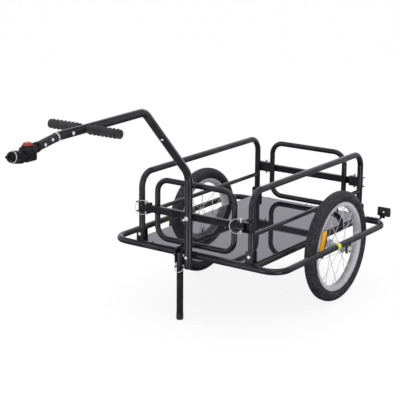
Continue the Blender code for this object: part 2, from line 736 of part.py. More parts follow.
def gate_jaw(sign, end_sign):
    # A sideways channel coped round the post: the gate rail's end lies between its flanges
    plane = post_y(end_sign)
    tip = plane + end_sign * (RAIL_FACE + JAW_LIP)
    web_face = plane + end_sign * (GATE_TUBE_R + GAP - FOOT_PLAY)
    web_back = web_face - end_sign * PLATE
    inner = GATE_RAIL_TALL / 2 + JAW_PLAY
    outer = inner + PLATE
    profile = [
        (web_back, GATE_RAIL_HEIGHT - outer),
        (tip, GATE_RAIL_HEIGHT - outer),
        (tip, GATE_RAIL_HEIGHT - inner),
        (web_face, GATE_RAIL_HEIGHT - inner),
        (web_face, GATE_RAIL_HEIGHT + inner),
        (tip, GATE_RAIL_HEIGHT + inner),
        (tip, GATE_RAIL_HEIGHT + outer),
        (web_back, GATE_RAIL_HEIGHT + outer),
    ]
    near = JAW_PIN_X - JAW_INNER_REACH
    far = SIDE_X + SIDE_TUBE_R - JAW_SETBACK
    low, high = sorted((sign * near, sign * far))
    jaw = prism(profile, "X", low, high)
    post_low = (sign * SIDE_X, plane, GATE_RAIL_HEIGHT - 2 * outer)
    post_high = (sign * SIDE_X, plane, GATE_RAIL_HEIGHT + 2 * outer)
    tools = [rod(post_low, post_high, SIDE_TUBE_R - WELD, TUBE_SIDES)]
    slot_in = JAW_PIN_X - PIN_R - PIN_PLAY
    slot_out = JAW_PIN_X + JAW_SLOT_OUT
    pin_y = plane + end_sign * RAIL_OFFSET
    back = pin_y - end_sign * (PIN_R + PIN_PLAY)
    x_low, x_high = sorted((sign * slot_in, sign * slot_out))
    y_low, y_high = sorted((back, tip + end_sign * PLATE))
    for level in (-1, 1):
        z_low, z_high = sorted((level * (inner - JAW_PLAY / 2), level * (outer + PLATE)))
        low_corner = (x_low, y_low, GATE_RAIL_HEIGHT + z_low)
        high_corner = (x_high, y_high, GATE_RAIL_HEIGHT + z_high)
        tools.append(box(low_corner, high_corner))
    return jaw, tools


def build_gate(end, end_sign):
    plane = post_y(end_sign)
    rail_y = plane + end_sign * RAIL_OFFSET
    where = home(end + "_gate_slide", (0, rail_y, GATE_RAIL_HEIGHT), "trailer")
    corners = (
        (-GATE_HALF_WIDTH, plane, GATE_LOW),
        (GATE_HALF_WIDTH, plane, GATE_LOW),
        (GATE_HALF_WIDTH, plane, GATE_TOP),
        (-GATE_HALF_WIDTH, plane, GATE_TOP),
    )
    loop = bent_path(corners, [GATE_CORNER_R] * 4, closed=True)
    shape = tube(loop, Y_AXIS, GATE_TUBE_R, closed=True)
    item = put(end + "_gate_loop", shape, where, "black_powder_coat")
    drain = rod((0, plane, GATE_LOW - 2 * GATE_TUBE_R), (0, plane, GATE_LOW), DRAIN_R)
    shape_with(item, drain, where, "DIFFERENCE")
    outline = rectangle(GATE_RAIL_DEEP / 2, GATE_RAIL_TALL / 2)
    bore = rectangle(GATE_RAIL_DEEP / 2 - TUBE_WALL, GATE_RAIL_TALL / 2 - TUBE_WALL)
    run = line((-RAIL_HALF, rail_y, GATE_RAIL_HEIGHT), (RAIL_HALF, rail_y, GATE_RAIL_HEIGHT))
    rail = put(end + "_gate_rail", sweep(run, Y_AXIS, outline, bore), where, "black_powder_coat")
    reach = GATE_RAIL_TALL
    holes = []
    for sign in SIDES.values():
        x = sign * JAW_PIN_X
        bottom = (x, rail_y, GATE_RAIL_HEIGHT - reach)
        holes.append(rod(bottom, (x, rail_y, GATE_RAIL_HEIGHT + reach), PIN_R + 2 * GAP))
    if end == "front":
        ahead = rail_y - GATE_RAIL_DEEP
        behind = rail_y + GATE_RAIL_DEEP
        holes.append(rod((0, ahead, GATE_RAIL_HEIGHT), (0, behind, GATE_RAIL_HEIGHT), BOLT_HOLE_R))
    shape_with(rail, joined(holes), where, "DIFFERENCE")
    turn = FRONT_RING_TURN if end == "front" else REAR_RING_TURN
    for side, sign in SIDES.items():
        middle = (sign * JAW_PIN_X, rail_y, GATE_RAIL_HEIGHT)
        build_ring_pin(end + "_" + side, middle, end_sign, turn, where)


def build_ring_pin(label, at, end_sign, turn, parent):
    where = home(label + "_pin_swivel", at, parent)
    middle = Vector(at)
    profile = [
        (-PIN_HALF_LENGTH, 0),
        (-PIN_HALF_LENGTH, PIN_R * 0.6),
        (-PIN_HALF_LENGTH + PIN_R * 0.5, PIN_R),
        (PIN_HALF_LENGTH - PIN_HEAD_HEIGHT, PIN_R),
        (PIN_HALF_LENGTH - PIN_HEAD_HEIGHT, PIN_HEAD_R),
        (PIN_HALF_LENGTH, PIN_HEAD_R),
        (PIN_HALF_LENGTH, 0),
    ]
    shaft = turned(profile, middle, Z_AXIS, SMALL_SIDES)
    toward = Vector((-math.sin(turn), end_sign * math.cos(turn), 0))
    wire = wire_ring(middle, toward, Z_AXIS, RING_R, RING_EYE, PIN_R)
    pin = put(label + "_ring_pin", shaft, where, "zinc_steel")
    shape_with(pin, wire, where, "UNION")


def wire_ring(middle, toward, across, radius, eye, pin_r):
    # A wire that springs round from one end of a pin to the other and is let into its sides
    offset = math.sqrt(radius**2 - eye**2)
    half_angle = math.pi - math.atan2(eye, offset)
    arc = arc_path(middle + toward * offset, toward, across, radius, half_angle, WIRE_STEPS)
    surface = toward * (pin_r - 2 * GAP)
    start = (arc[0][0] + surface, toward)
    end = (arc[-1][0] + surface, -toward)
    return tube([start] + arc[1:-1] + [end], toward.cross(across), RING_WIRE_R, wall=0, sides=WIRE_SIDES)


def build_tow_arm():
    where = "front_gate_slide"
    corners = (
        (0, ARM_Y, ARM_FOOT_HEIGHT),
        (0, ARM_Y, ARM_KNEE_HEIGHT),
        (0, -ARM_SHOULDER[0], ARM_SHOULDER[1]),
        (0, -ARM_NECK[0], ARM_NECK[1]),
        (0, -ARM_TIP[0], ARM_TIP[1]),
    )
    path = bent_path(corners, (ARM_KNEE_R, ARM_SHOULDER_R, ARM_NECK_R))
    arm = put("tow_arm", tube(path, X_AXIS, ARM_TUBE_R), where, "black_powder_coat")
    holes = []
    for height in (BASE_HEIGHT, GATE_RAIL_HEIGHT):
        ahead = (0, ARM_Y - 2 * ARM_TUBE_R, height)
        holes.append(rod(ahead, (0, ARM_Y + 2 * ARM_TUBE_R, height), BOLT_HOLE_R))
    handle_z = arm_height(HANDLE_Y)
    additions = [arm_band()]
    for offset in ARM_SCREW_OFFSETS:
        y = ARM_NECK_REACH + offset
        z = arm_height(y) - ARM_SCREW_DROP
        surface = math.sqrt(ARM_TUBE_R**2 - ARM_SCREW_DROP**2) - GAP
        additions.append(screw_head(Vector((surface, -y, z)), -X_AXIS))
    middle = Vector((0, -HANDLE_Y, handle_z))
    through = X_AXIS * 2 * ARM_TUBE_R
    holes.append(rod(middle - through, middle + through, HANDLE_R - TUBE_WALL / 2, TUBE_SIDES))
    shape_with(arm, joined(holes), where, "DIFFERENCE")
    run = line(middle - X_AXIS * HANDLE_HALF, middle + X_AXIS * HANDLE_HALF)
    additions.append(tube(run, Y_AXIS, HANDLE_R))
    shape_with(arm, joined(additions), where, "UNION")
    seat = ARM_Y - ARM_TUBE_R - GAP
    rail_grip = 2 * ARM_TUBE_R + GATE_RAIL_DEEP + 3 * GAP
    bar_grip = 2 * ARM_TUBE_R + 2 * BASE_TUBE_R + 3 * GAP
    foot_bolt = bolt((0, seat, BASE_HEIGHT), Y_AXIS, bar_grip + NUT_THICK + BOLT_R)
    put("tow_arm_foot_bolt", foot_bolt, where, "zinc_steel")
    put_bolt_and_nut("tow_arm_rail_bolt", Vector((0, seat, GATE_RAIL_HEIGHT)), Y_AXIS, rail_grip, where)
    build_grips(middle, where)


def arm_height(y):
    # Height of the tow arm's centre line at a distance ahead of the axle
    if y < ARM_NECK[0]:
        start, end = ARM_SHOULDER, ARM_NECK
    else:
        start, end = ARM_NECK, ARM_TIP
    share = (y - start[0]) / (end[0] - start[0])
    return start[1] + share * (end[1] - start[1])


def arm_band():
    slope = Vector((0, -(ARM_TIP[0] - ARM_SHOULDER[0]), ARM_TIP[1] - ARM_SHOULDER[1])).normalized()
    centre = Vector((0, -ARM_NECK[0], ARM_NECK[1] - arm_neck_drop()))
    inside = ARM_TUBE_R - WELD / 2
    outside = ARM_TUBE_R + CLIP_THICK
    profile = [(0, inside), (0, outside), (CLIP_WIDTH, outside), (CLIP_WIDTH, inside)]
    return turned(profile, centre - slope * CLIP_WIDTH / 2, slope, TUBE_SIDES, ring=True)


def arm_neck_drop():
    # How far the arc of the neck bend runs below the corner of its two straights
    before = Vector((ARM_NECK[0] - ARM_SHOULDER[0], ARM_NECK[1] - ARM_SHOULDER[1]))
    after = Vector((ARM_TIP[0] - ARM_NECK[0], ARM_TIP[1] - ARM_NECK[1]))
    turn = before.angle(after)
    return ARM_NECK_R * (1 / math.cos(turn / 2) - 1)


def build_grips(middle, where):
    bore = HANDLE_R + GAP
    length = HANDLE_HALF + GRIP_END - GRIP_INNER
    for side, sign in SIDES.items():
        profile = [(0, bore), (0, GRIP_R - GRIP_WAIST)]
        for i in range(GRIP_RINGS):
            pitch = length / GRIP_RINGS
            profile.append((pitch * (i + 0.25), GRIP_R))
            profile.append((pitch * (i + 0.75), GRIP_R))
            if i < GRIP_RINGS - 1:
                profile.append((pitch * (i + 1), GRIP_R - GRIP_WAIST))
        floor = length - GRIP_END + GAP
        profile += [(length, GRIP_R - 2 * GRIP_WAIST), (length, 0), (floor, 0), (floor, bore)]
        start = middle + X_AXIS * sign * GRIP_INNER
        grip = turned(profile, start, X_AXIS * sign, TUBE_SIDES, ring=True)
        put(side + "_handle_grip", grip, where, "soft_rubber")


def build_coupler():
    where = "front_gate_slide"
    lean = math.tan(HITCH_TILT)
    outline = [
        (-HOUSING_BACK, HOUSING_BOTTOM),
        (-HOUSING_BACK, HOUSING_TOP_BACK),
        (-HOUSING_FRONT + (HOUSING_TOP_FRONT - HITCH_HEIGHT) * lean, HOUSING_TOP_FRONT),
        (-HOUSING_FRONT + (HOUSING_BOTTOM - HITCH_HEIGHT) * lean, HOUSING_BOTTOM),
    ]
    shape = prism(outline, "X", -HOUSING_HALF_WIDTH, HOUSING_HALF_WIDTH)
    housing = put("coupler_housing", shape, where, "black_plastic")
    bevel = housing.modifiers.new("bevel", "BEVEL")
    bevel.width = HOUSING_BEVEL
    bevel.segments = 2
    bevel.limit_method = "ANGLE"
    slope = Vector((0, -(ARM_TIP[0] - ARM_NECK[0]), ARM_TIP[1] - ARM_NECK[1])).normalized()
    tip = Vector((0, -ARM_TIP[0], ARM_TIP[1]))
    inside = ARM_TUBE_R - TUBE_WALL - GAP
    spigot = rod(tip - slope * SPIGOT_LENGTH, tip + slope * 2 * HOUSING_BEVEL, inside, TUBE_SIDES)
    shape_with(housing, spigot, where, "UNION")
    fork_y = HITCH_FACE.y + GROOVE_FROM_FACE * math.cos(HITCH_TILT)
    fork_z = HITCH_FACE.z - GROOVE_FROM_FACE * math.sin(HITCH_TILT)
    shank_end = HITCH_FACE - HITCH_AXIS * (SHANK_LENGTH + 3 * GAP)
    bore = rod(shank_end, HITCH_FACE + HITCH_AXIS * STUB_R, SHANK_R + GAP, TUBE_SIDES)
    shape_with(housing, bore, where, "DIFFERENCE")
    half_a = BUTTON_HALF_WIDTH + BUTTON_PLAY
    half_b = BUTTON_HALF_LENGTH + BUTTON_PLAY
    opening = rounded_rectangle(half_a, half_b, BUTTON_CORNER_R, 2)
    opening = [(a, b - BUTTON_Y) for a, b in opening]
    shape_with(housing, prism(opening, "Z", BUTTON_POCKET, BUTTON_TOP), where, "DIFFERENCE")
    slot_x = FORK_HALF_WIDTH + BUTTON_PLAY
    slot_y = FORK_THICK / 2 + BUTTON_PLAY
    slot_low = (-slot_x, fork_y - slot_y, fork_z - FORK_WIDE_R - BUTTON_TRAVEL - BUTTON_PLAY)
    slot_high = (slot_x, fork_y + slot_y, BUTTON_POCKET + PLATE)
    shape_with(housing, box(slot_low, slot_high), where, "DIFFERENCE")
    build_button(fork_y, fork_z)
    build_hitch()


def build_button(fork_y, fork_z):
    where = home("button_press", (0, -BUTTON_Y, BUTTON_SKIRT), "front_gate_slide")
    levels = ((BUTTON_SKIRT, 0), (BUTTON_TOP - 0.006, 0), (BUTTON_TOP - 0.002, 0.002), (BUTTON_TOP, 0.006))
    bm = bmesh.new()
    rings = []
    for height, inset in levels:
        corner = BUTTON_CORNER_R - inset / 2
        outline = rounded_rectangle(BUTTON_HALF_WIDTH - inset, BUTTON_HALF_LENGTH - inset, corner, 2)
        rings.append([bm.verts.new((a, b - BUTTON_Y, height)) for a, b in outline])
    for low, high in zip(rings, rings[1:]):
        for i in range(len(low)):
            j = (i + 1) % len(low)
            bm.faces.new((low[i], low[j], high[j], high[i]))
    bm.faces.new(list(reversed(rings[0])))
    bm.faces.new(rings[-1])
    button = put("release_button", bm, where, "red_plastic")
    cavity = rod(
        (0, fork_y, BUTTON_SKIRT - BUTTON_TRAVEL),
        (0, fork_y, BUTTON_CEILING),
        SPRING_R + 2 * GAP,
        TUBE_SIDES,
    )
    shape_with(button, cavity, where, "DIFFERENCE")
    centre = fork_z + BUTTON_TRAVEL
    outline = [(FORK_NARROW, fork_z - FORK_WIDE_R)]
    start = math.asin(FORK_NARROW / FORK_WIDE_R)
    steps = 8
    for i in range(steps + 1):
        angle = -math.pi / 2 + start + (2 * math.pi - 2 * start) * i / steps
        outline.append((FORK_WIDE_R * math.cos(angle), centre + FORK_WIDE_R * math.sin(angle)))
    outline.append((-FORK_NARROW, fork_z - FORK_WIDE_R))
    shoulder = centre + FORK_WIDE_R + FORK_THICK / 2
    stem_top = BUTTON_CEILING - GAP
    outline += [
        (-FORK_HALF_WIDTH, fork_z - FORK_WIDE_R),
        (-FORK_HALF_WIDTH, shoulder),
        (-FORK_STEM_HALF, shoulder),
        (-FORK_STEM_HALF, stem_top),
        (FORK_STEM_HALF, stem_top),
        (FORK_STEM_HALF, shoulder),
        (FORK_HALF_WIDTH, shoulder),
        (FORK_HALF_WIDTH, fork_z - FORK_WIDE_R),
    ]
    fork = prism(outline, "Y", fork_y - FORK_THICK / 2, fork_y + FORK_THICK / 2)
    put("latch_fork", fork, where, "zinc_steel")
    inner = SPRING_R - SPRING_WIRE
    base = BUTTON_POCKET + GAP
    top = BUTTON_CEILING - GAP
    profile = [(0, inner), (0, SPRING_R), (top - base, SPRING_R), (top - base, inner)]
    spring = turned(profile, Vector((0, fork_y, base)), Z_AXIS, TUBE_SIDES, ring=True)
    put("button_spring", spring, "front_gate_slide", "zinc_steel")


def build_hitch():
    where = home("hitch_swivel", HITCH_FACE, "front_gate_slide")
    groove_near = -GROOVE_FROM_FACE - GROOVE_HALF
    groove_far = -GROOVE_FROM_FACE + GROOVE_HALF
    face = GAP * 2
    seat_end = BALL_CENTRE - BALL_R - GAP
    profile = [
        (-SHANK_LENGTH, 0),
        (-SHANK_LENGTH, SHANK_R),
        (groove_near, SHANK_R),
        (groove_near, GROOVE_R),
        (groove_far, GROOVE_R),
        (groove_far, SHANK_R),
        (face, SHANK_R),
        (face, STUB_R),
        (face + STUB_LENGTH, STUB_R),
        (face + STUB_LENGTH, COLLAR_SEAT_R),
        (STUB_END, COLLAR_SEAT_R),
        (STUB_END, BALL_R),
        (seat_end, BALL_R * 0.5),
        (seat_end, 0),
    ]
    put("coupler_stub", turned(profile, HITCH_FACE, HITCH_AXIS, TUBE_SIDES), where, "black_plastic")
    start = face + STUB_LENGTH + GAP
    bore = COLLAR_SEAT_R + GAP
    end = start + COLLAR_WIDTH
    ring = [(start, bore), (start, COLLAR_R), (end, COLLAR_R), (end, bore)]
    put("coupler_collar", turned(ring, HITCH_FACE, HITCH_AXIS, TUBE_SIDES, ring=True), where, "zinc_steel")
    cap = end + GAP
    cavity = BALL_R + 1.5 * GAP
    mouth = NOSE_FLARE_R + NOSE_WALL
    steps = 4
    cap_profile = [(cap, cavity + GAP * 3)]
    for i in range(steps + 1):
        angle = math.pi / 2 * i / steps
        cap_profile.append((cap + NOSE_LENGTH * math.sin(angle), mouth + (STUB_R - mouth) * math.cos(angle)))
    cap_profile += [
        (cap + NOSE_LENGTH, NOSE_FLARE_R),
        (BALL_CENTRE + BALL_R * 0.55, NOSE_MOUTH_R),
        (BALL_CENTRE + BALL_R * 0.2, cavity),
    ]
    nose = turned(cap_profile, HITCH_FACE, HITCH_AXIS, TUBE_SIDES, ring=True)
    put("coupler_nose", nose, where, "black_plastic")
    ball = home("ball_tilt", HITCH_FACE + HITCH_AXIS * BALL_CENTRE, where)
    stud = []
    for i in range(8):
        angle = math.pi * i / 8
        if BALL_R * math.sin(angle) < STUD_R and i > 4:
            break
        stud.append((BALL_CENTRE - BALL_R * math.cos(angle), BALL_R * math.sin(angle)))
    neck = BALL_CENTRE + math.sqrt(BALL_R**2 - STUD_R**2)
    stud.append((neck, STUD_R))
    start = math.asin(STUD_R / STUD_KNOB_R)
    for i in range(5):
        angle = start + (math.pi - start) * i / 5
        along = STUD_TIP - STUD_KNOB_R * (1 + math.cos(angle))
        stud.append((along, STUD_KNOB_R * math.sin(angle)))
    stud.append((STUD_TIP, 0))
    put("ball_stud", turned(stud, HITCH_FACE, HITCH_AXIS, TUBE_SIDES), ball, "black_plastic")


def build_stand():
    half = STAND_TUBE_R + STAND_PLAY
    outer = half + PLATE
    web_back = -(BASE_FRONT + BASE_TUBE_R + GAP)
    nose = STAND_Y - STAND_NOSE
    outline = [
        (STAND_X - outer, web_back),
        (STAND_X - outer, nose),
        (STAND_X - half, nose),
        (STAND_X - half, STAND_WEB_FRONT),
        (STAND_X + half, STAND_WEB_FRONT),
        (STAND_X + half, nose),
        (STAND_X + outer, nose),
        (STAND_X + outer, web_back),
    ]
    channel = prism(outline, "Z", STAND_BRACKET_BOTTOM, STAND_BRACKET_TOP)
    bracket = put("stand_bracket", channel, "trailer", "black_powder_coat")
    pin_z = STAND_PIVOT_HEIGHT - STAND_PIN_DROP
    reach = 2 * outer
    pivot_low = (STAND_X - reach, STAND_Y, STAND_PIVOT_HEIGHT)
    pivot_high = (STAND_X + reach, STAND_Y, STAND_PIVOT_HEIGHT)
    pivot_hole = rod(pivot_low, pivot_high, BOLT_HOLE_R)
    slot = box(
        (STAND_X - reach, nose - PLATE, pin_z - STAND_SLOT_HALF),
        (STAND_X + reach, STAND_Y + STAND_SLOT_HALF, pin_z + STAND_SLOT_HALF + PLATE),
    )
    shape_with(bracket, joined([pivot_hole, slot]), "trailer", "DIFFERENCE")

    where = home("stand_fold", (STAND_X, STAND_Y, STAND_PIVOT_HEIGHT), "trailer")
    low = FOOT_CAP_FLOOR + GAP
    run = line((STAND_X, STAND_Y, low), (STAND_X, STAND_Y, STAND_PIVOT_HEIGHT + STAND_TAIL))
    leg = put("stand_leg", tube(run, X_AXIS, STAND_TUBE_R), where, "black_powder_coat")
    pin_hole = rod((STAND_X - reach, STAND_Y, pin_z), (STAND_X + reach, STAND_Y, pin_z), STAND_PIN_R + GAP)
    pivot_hole = rod(pivot_low, pivot_high, BOLT_HOLE_R)
    shape_with(leg, joined([pin_hole, pivot_hole]), where, "DIFFERENCE")
    bore = STAND_TUBE_R + GAP
    edge = 0.002
    profile = [
        (0, 0),
        (0, FOOT_CAP_R - edge),
        (edge, FOOT_CAP_R),
        (FOOT_CAP_HEIGHT, FOOT_CAP_R),
        (FOOT_CAP_HEIGHT, bore),
        (FOOT_CAP_FLOOR, bore),
        (FOOT_CAP_FLOOR, 0),
    ]
    put("stand_foot_cap", turned(profile, (STAND_X, STAND_Y, 0), Z_AXIS, TUBE_SIDES), where, "soft_rubber")
    build_stand_pin(where, pin_z, outer)


def build_stand_pin(parent, pin_z, outer):
    middle = Vector((STAND_X, STAND_Y, pin_z))
    where = home("stand_ring_swivel", middle, parent)
    half = outer + PIN_HEAD_HEIGHT
    tip = half + PIN_HEAD_HEIGHT / 2
    profile = [(-half, 0), (-half, STAND_PIN_R), (half - GAP, STAND_PIN_R), (half - GAP, PIN_R)]
    profile += [(tip, PIN_R), (tip, 0)]
    shaft = turned(profile, middle, -X_AXIS, SMALL_SIDES)
    toward = Vector((0, -math.cos(STAND_RING_TURN), -math.sin(STAND_RING_TURN)))
    wire = wire_ring(middle, toward, X_AXIS, STAND_RING_R, outer + PIN_HEAD_HEIGHT / 2, STAND_PIN_R)
    pin = put("stand_ring_pin", shaft, where, "zinc_steel")
    shape_with(pin, wire, where, "UNION")


def build_wheel(side, sign):
    centre = Vector((sign * WHEEL_X, 0, WHEEL_R))
    where = home(side + "_wheel_spin", centre, "trailer")
    axis = X_AXIS * sign
    neck = RIM_HALF_WIDTH - RIM_LIP - 2 * GAP
    bead = RIM_EDGE_R - RIM_BED_DEPTH + GAP * 2
    bulge = RIM_EDGE_R + (WHEEL_R - RIM_EDGE_R) * 0.48
    outer = [
        (neck, bead),
        (neck, RIM_EDGE_R + GAP),
        (TYRE_HALF_WIDTH - 0.002, RIM_EDGE_R + 0.009),
        (TYRE_HALF_WIDTH, bulge),
        (TYRE_SHOULDER_HALF, WHEEL_R - 0.0085),
        (TYRE_TREAD_HALF, WHEEL_R),
    ]
    inner = [
        (TYRE_SHOULDER_HALF - TYRE_WALL, WHEEL_R - 0.0085 - TYRE_WALL / 2),
        (TYRE_HALF_WIDTH - TYRE_WALL - 0.001, bulge - TYRE_WALL),
        (neck - TYRE_WALL * 0.8, bead),
    ]
    shell = outer + [(-a, r) for a, r in reversed(outer)]
    shell += [(-a, r) for a, r in reversed(inner)] + inner
    tyre = turned(shell, centre, axis, WHEEL_SEGMENTS, ring=True)
    put(side + "_tyre", tyre, where, "tyre_rubber")
    tube_r = RIM_EDGE_R + 0.0045 + TUBE_SECTION_R
    section = [(a, tube_r + b) for a, b in circle(TUBE_SECTION_R, 6)]
    soft = turned(section, centre, axis, WHEEL_SEGMENTS, ring=True)
    inner_tube = put(side + "_inner_tube", soft, where, "soft_rubber")
    lip = RIM_HALF_WIDTH - RIM_LIP
    bed = RIM_EDGE_R - RIM_BED_DEPTH
    half_rim = [
        (lip, bed),
        (lip, RIM_EDGE_R),
        (RIM_HALF_WIDTH, RIM_EDGE_R),
        (RIM_HALF_WIDTH, RIM_EDGE_R - RIM_DEPTH * 0.65),
        (RIM_HALF_WIDTH / 2, RIM_EDGE_R - RIM_DEPTH),
    ]
    rim_profile = half_rim + [(-a, r) for a, r in reversed(half_rim)]
    hoop = turned(rim_profile, centre, axis, WHEEL_SEGMENTS, ring=True)
    rim = put(side + "_rim", hoop, where, "rim_aluminium")
    valve_tip = centre + Z_AXIS * VALVE_TIP_R
    valve_root = centre + Z_AXIS * tube_r
    shape_with(rim, rod(valve_tip, valve_root, VALVE_R + GAP), where, "DIFFERENCE")
    shape_with(inner_tube, rod(valve_tip, valve_root, VALVE_R), where, "UNION")
    build_hub(side, centre, axis, where)
    build_spoke_reflector(side, centre, sign, where)


def build_hub(side, centre, axis, where):
    flange_in = HUB_FLANGE_X - HUB_FLANGE_HALF
    flange_out = HUB_FLANGE_X + HUB_FLANGE_HALF
    seat = BEARING_R + GAP
    half = [
        (HUB_HALF - BEARING_WIDTH, AXLE_R * 1.5),
        (HUB_HALF - BEARING_WIDTH, seat),
        (HUB_HALF, seat),
        (HUB_HALF, HUB_END_R),
        (flange_out, HUB_END_R),
        (flange_out, HUB_FLANGE_R),
        (flange_in, HUB_FLANGE_R),
        (flange_in - HUB_FLANGE_HALF, HUB_BARREL_R),
    ]
    profile = half + [(-a, r) for a, r in reversed(half)]
    shell = turned(profile, centre, axis, TUBE_SIDES, ring=True)
    hub = put(side + "_spoked_hub", shell, where, "rim_aluminium")
    shape_with(hub, spokes(centre, axis.x), where, "UNION")


def spokes(centre, sign):
    rods = []
    rim_r = (RIM_EDGE_R - RIM_DEPTH) * math.cos(math.pi / WHEEL_SEGMENTS) - GAP - SPOKE_R / 2
    for k in range(SPOKE_COUNT):
        flange = 1 if k % 2 == 0 else -1
        lean = 1 if (k // 2) % 2 == 0 else -1
        rim_angle = 2 * math.pi * (k + 0.5) / SPOKE_COUNT
        hub_angle = rim_angle + lean * SPOKE_TWIST
        hub_x = flange * (HUB_FLANGE_X + lean * SPOKE_LAYER * 0.8)
        rim_x = flange * (2 + lean) * SPOKE_LAYER
        start = Vector((sign * hub_x, SPOKE_HUB_R * math.sin(hub_angle), SPOKE_HUB_R * math.cos(hub_angle)))
        end = Vector((sign * rim_x, rim_r * math.sin(rim_angle), rim_r * math.cos(rim_angle)))
        rods.append(rod(centre + start, centre + end, SPOKE_R, 3))
    return joined(rods)


def build_spoke_reflector(side, centre, sign, where):
    outline = rounded_rectangle(SPOKE_REFLECTOR_WIDTH / 2, SPOKE_REFLECTOR_LENGTH / 2, 0.007, 2)
    turn = SPOKE_REFLECTOR_TURN
    placed = []
    for a, b in outline:
        reach = -SPOKE_REFLECTOR_R + a
        y = reach * math.cos(turn) - b * math.sin(turn)
        z = reach * math.sin(turn) + b * math.cos(turn)
        placed.append((centre.y + y, centre.z + z))
    near = sign * (WHEEL_X + SPOKE_REFLECTOR_X)
    far = sign * (WHEEL_X + SPOKE_REFLECTOR_X + SPOKE_REFLECTOR_THICK)
    plate = prism(placed, "X", min(near, far), max(near, far))
    put(side + "_spoke_reflector", plate, where, "amber_lens")


def build_axles():
    # Each axle bolt runs through an inner and an outer dropout; the hub turns on two bearings
    outer_face = BASE_HALF_WIDTH - DROPOUT_OFFSET + DROPOUT_THICK / 2 - WHEEL_X
    inner_face = WHEEL_X - INNER_RAIL_X - DROPOUT_OFFSET + DROPOUT_THICK / 2
    stick_out = AXLE_NUT_THICK + GAP + AXLE_TAIL
    collar_r = (AXLE_R + BEARING_R) / 2
    hub_end = HUB_HALF + GAP
    bearing_profile = [(0, AXLE_R + GAP), (0, BEARING_R)]
    width = BEARING_WIDTH - 2 * GAP
    bearing_profile += [(width, BEARING_R), (width, AXLE_R + GAP)]
    for side, sign in SIDES.items():
        way = X_AXIS * sign
        centre = Vector((sign * WHEEL_X, 0, WHEEL_R))
        profile = [
            (-inner_face - stick_out, 0),
            (-inner_face - stick_out, AXLE_R),
            (-inner_face + DROPOUT_THICK + GAP, AXLE_R),
            (-inner_face + DROPOUT_THICK + GAP, collar_r),
            (-hub_end, collar_r),
            (-hub_end, AXLE_R),
            (hub_end, AXLE_R),
            (hub_end, collar_r),
            (outer_face - DROPOUT_THICK - GAP, collar_r),
            (outer_face - DROPOUT_THICK - GAP, AXLE_R),
            (outer_face + stick_out, AXLE_R),
            (outer_face + stick_out, 0),
        ]
        axle = put(side + "_axle", turned(profile, centre, way, SMALL_SIDES), "trailer", "zinc_steel")
        nuts = [
            hexagon(centre + way * (outer_face + GAP), way, AXLE_NUT_R, AXLE_NUT_THICK),
            hexagon(centre - way * (inner_face + GAP), -way, AXLE_NUT_R, AXLE_NUT_THICK),
        ]
        shape_with(axle, joined(nuts), "trailer", "UNION")
        for label, end in (("outer", way), ("inner", -way)):
            seat = centre + end * (HUB_HALF - GAP)
            bearing = turned(bearing_profile, seat, -end, TUBE_SIDES, ring=True)
            put(side + "_" + label + "_bearing", bearing, "trailer", "zinc_steel")


def build_rear_reflector(side, sign):
    # A bent strap on the rear bar carries a backing plate with its lens facing rearward
    seat_z = BASE_HEIGHT + BASE_TUBE_R + GAP
    thick = REFLECTOR_ARM_THICK
    knee_x = REFLECTOR_X - REFLECTOR_HALF_WIDTH * 0.35
    top = REFLECTOR_HEIGHT + REFLECTOR_TAB_RISE
    back = BASE_REAR + REFLECTOR_ARM_HALF
    outline = [
        (sign * REFLECTOR_ARM_X, seat_z),
        (sign * (knee_x + thick), seat_z),
        (sign * (knee_x + thick), top),
        (sign * knee_x, top),
        (sign * knee_x, seat_z + thick),
        (sign * REFLECTOR_ARM_X, seat_z + thick),
    ]
    shape = prism(outline, "Y", BASE_REAR - REFLECTOR_ARM_HALF, back)
    strap = put(side + "_reflector_mount", shape, "trailer", "black_powder_coat")
    low_x, high_x = sorted((sign * (knee_x + thick / 2), sign * (knee_x + REFLECTOR_TAB_WIDTH)))
    tab = box((low_x, back - thick, seat_z + 2 * thick), (high_x, back, top - GAP))
    cup = prism(reflector_outline(sign, 0), "Y", back - GAP, back + REFLECTOR_BACK_THICK)
    shape_with(shape_with(strap, tab, "trailer", "UNION"), cup, "trailer", "UNION")
    screw_x = sign * (knee_x + REFLECTOR_TAB_WIDTH * 0.6)
    screw = screw_head(Vector((screw_x, back - thick + GAP, REFLECTOR_HEIGHT)), Y_AXIS)
    shape_with(strap, screw, "trailer", "UNION")
    lens_y = back + REFLECTOR_BACK_THICK + GAP
    lens = prism(reflector_outline(sign, REFLECTOR_RIM), "Y", lens_y, lens_y + REFLECTOR_LENS_THICK)
    put(side + "_reflector_lens", lens, "trailer", "red_lens")


def reflector_outline(sign, inset):
    corner = REFLECTOR_CORNER_R - inset / 2
    outline = rounded_rectangle(REFLECTOR_HALF_WIDTH - inset, REFLECTOR_HALF_HEIGHT - inset, corner, 2)
    return [(sign * REFLECTOR_X + a, REFLECTOR_HEIGHT + b) for a, b in outline]


def build_trailer():
    clear_scene()
    make_materials()
    home("trailer", (0, 0, 0))
    build_base_frame()
    build_deck()
    build_frame_bolts()
    for side, sign in SIDES.items():
        build_side_panel(side, sign)
    for end, end_sign in ENDS.items():
        build_gate(end, end_sign)
    build_tow_arm()
    build_coupler()
    build_stand()
    for side, sign in SIDES.items():
        build_wheel(side, sign)
    build_rear_reflector("left", SIDES["left"])
    build_axles()
    bpy.data.objects["trailer"].location = (0, AXLE_Y, 0)


build_trailer()
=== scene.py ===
import json
import math

import bmesh
import bpy
import numpy as np
from mathutils import Matrix, Vector


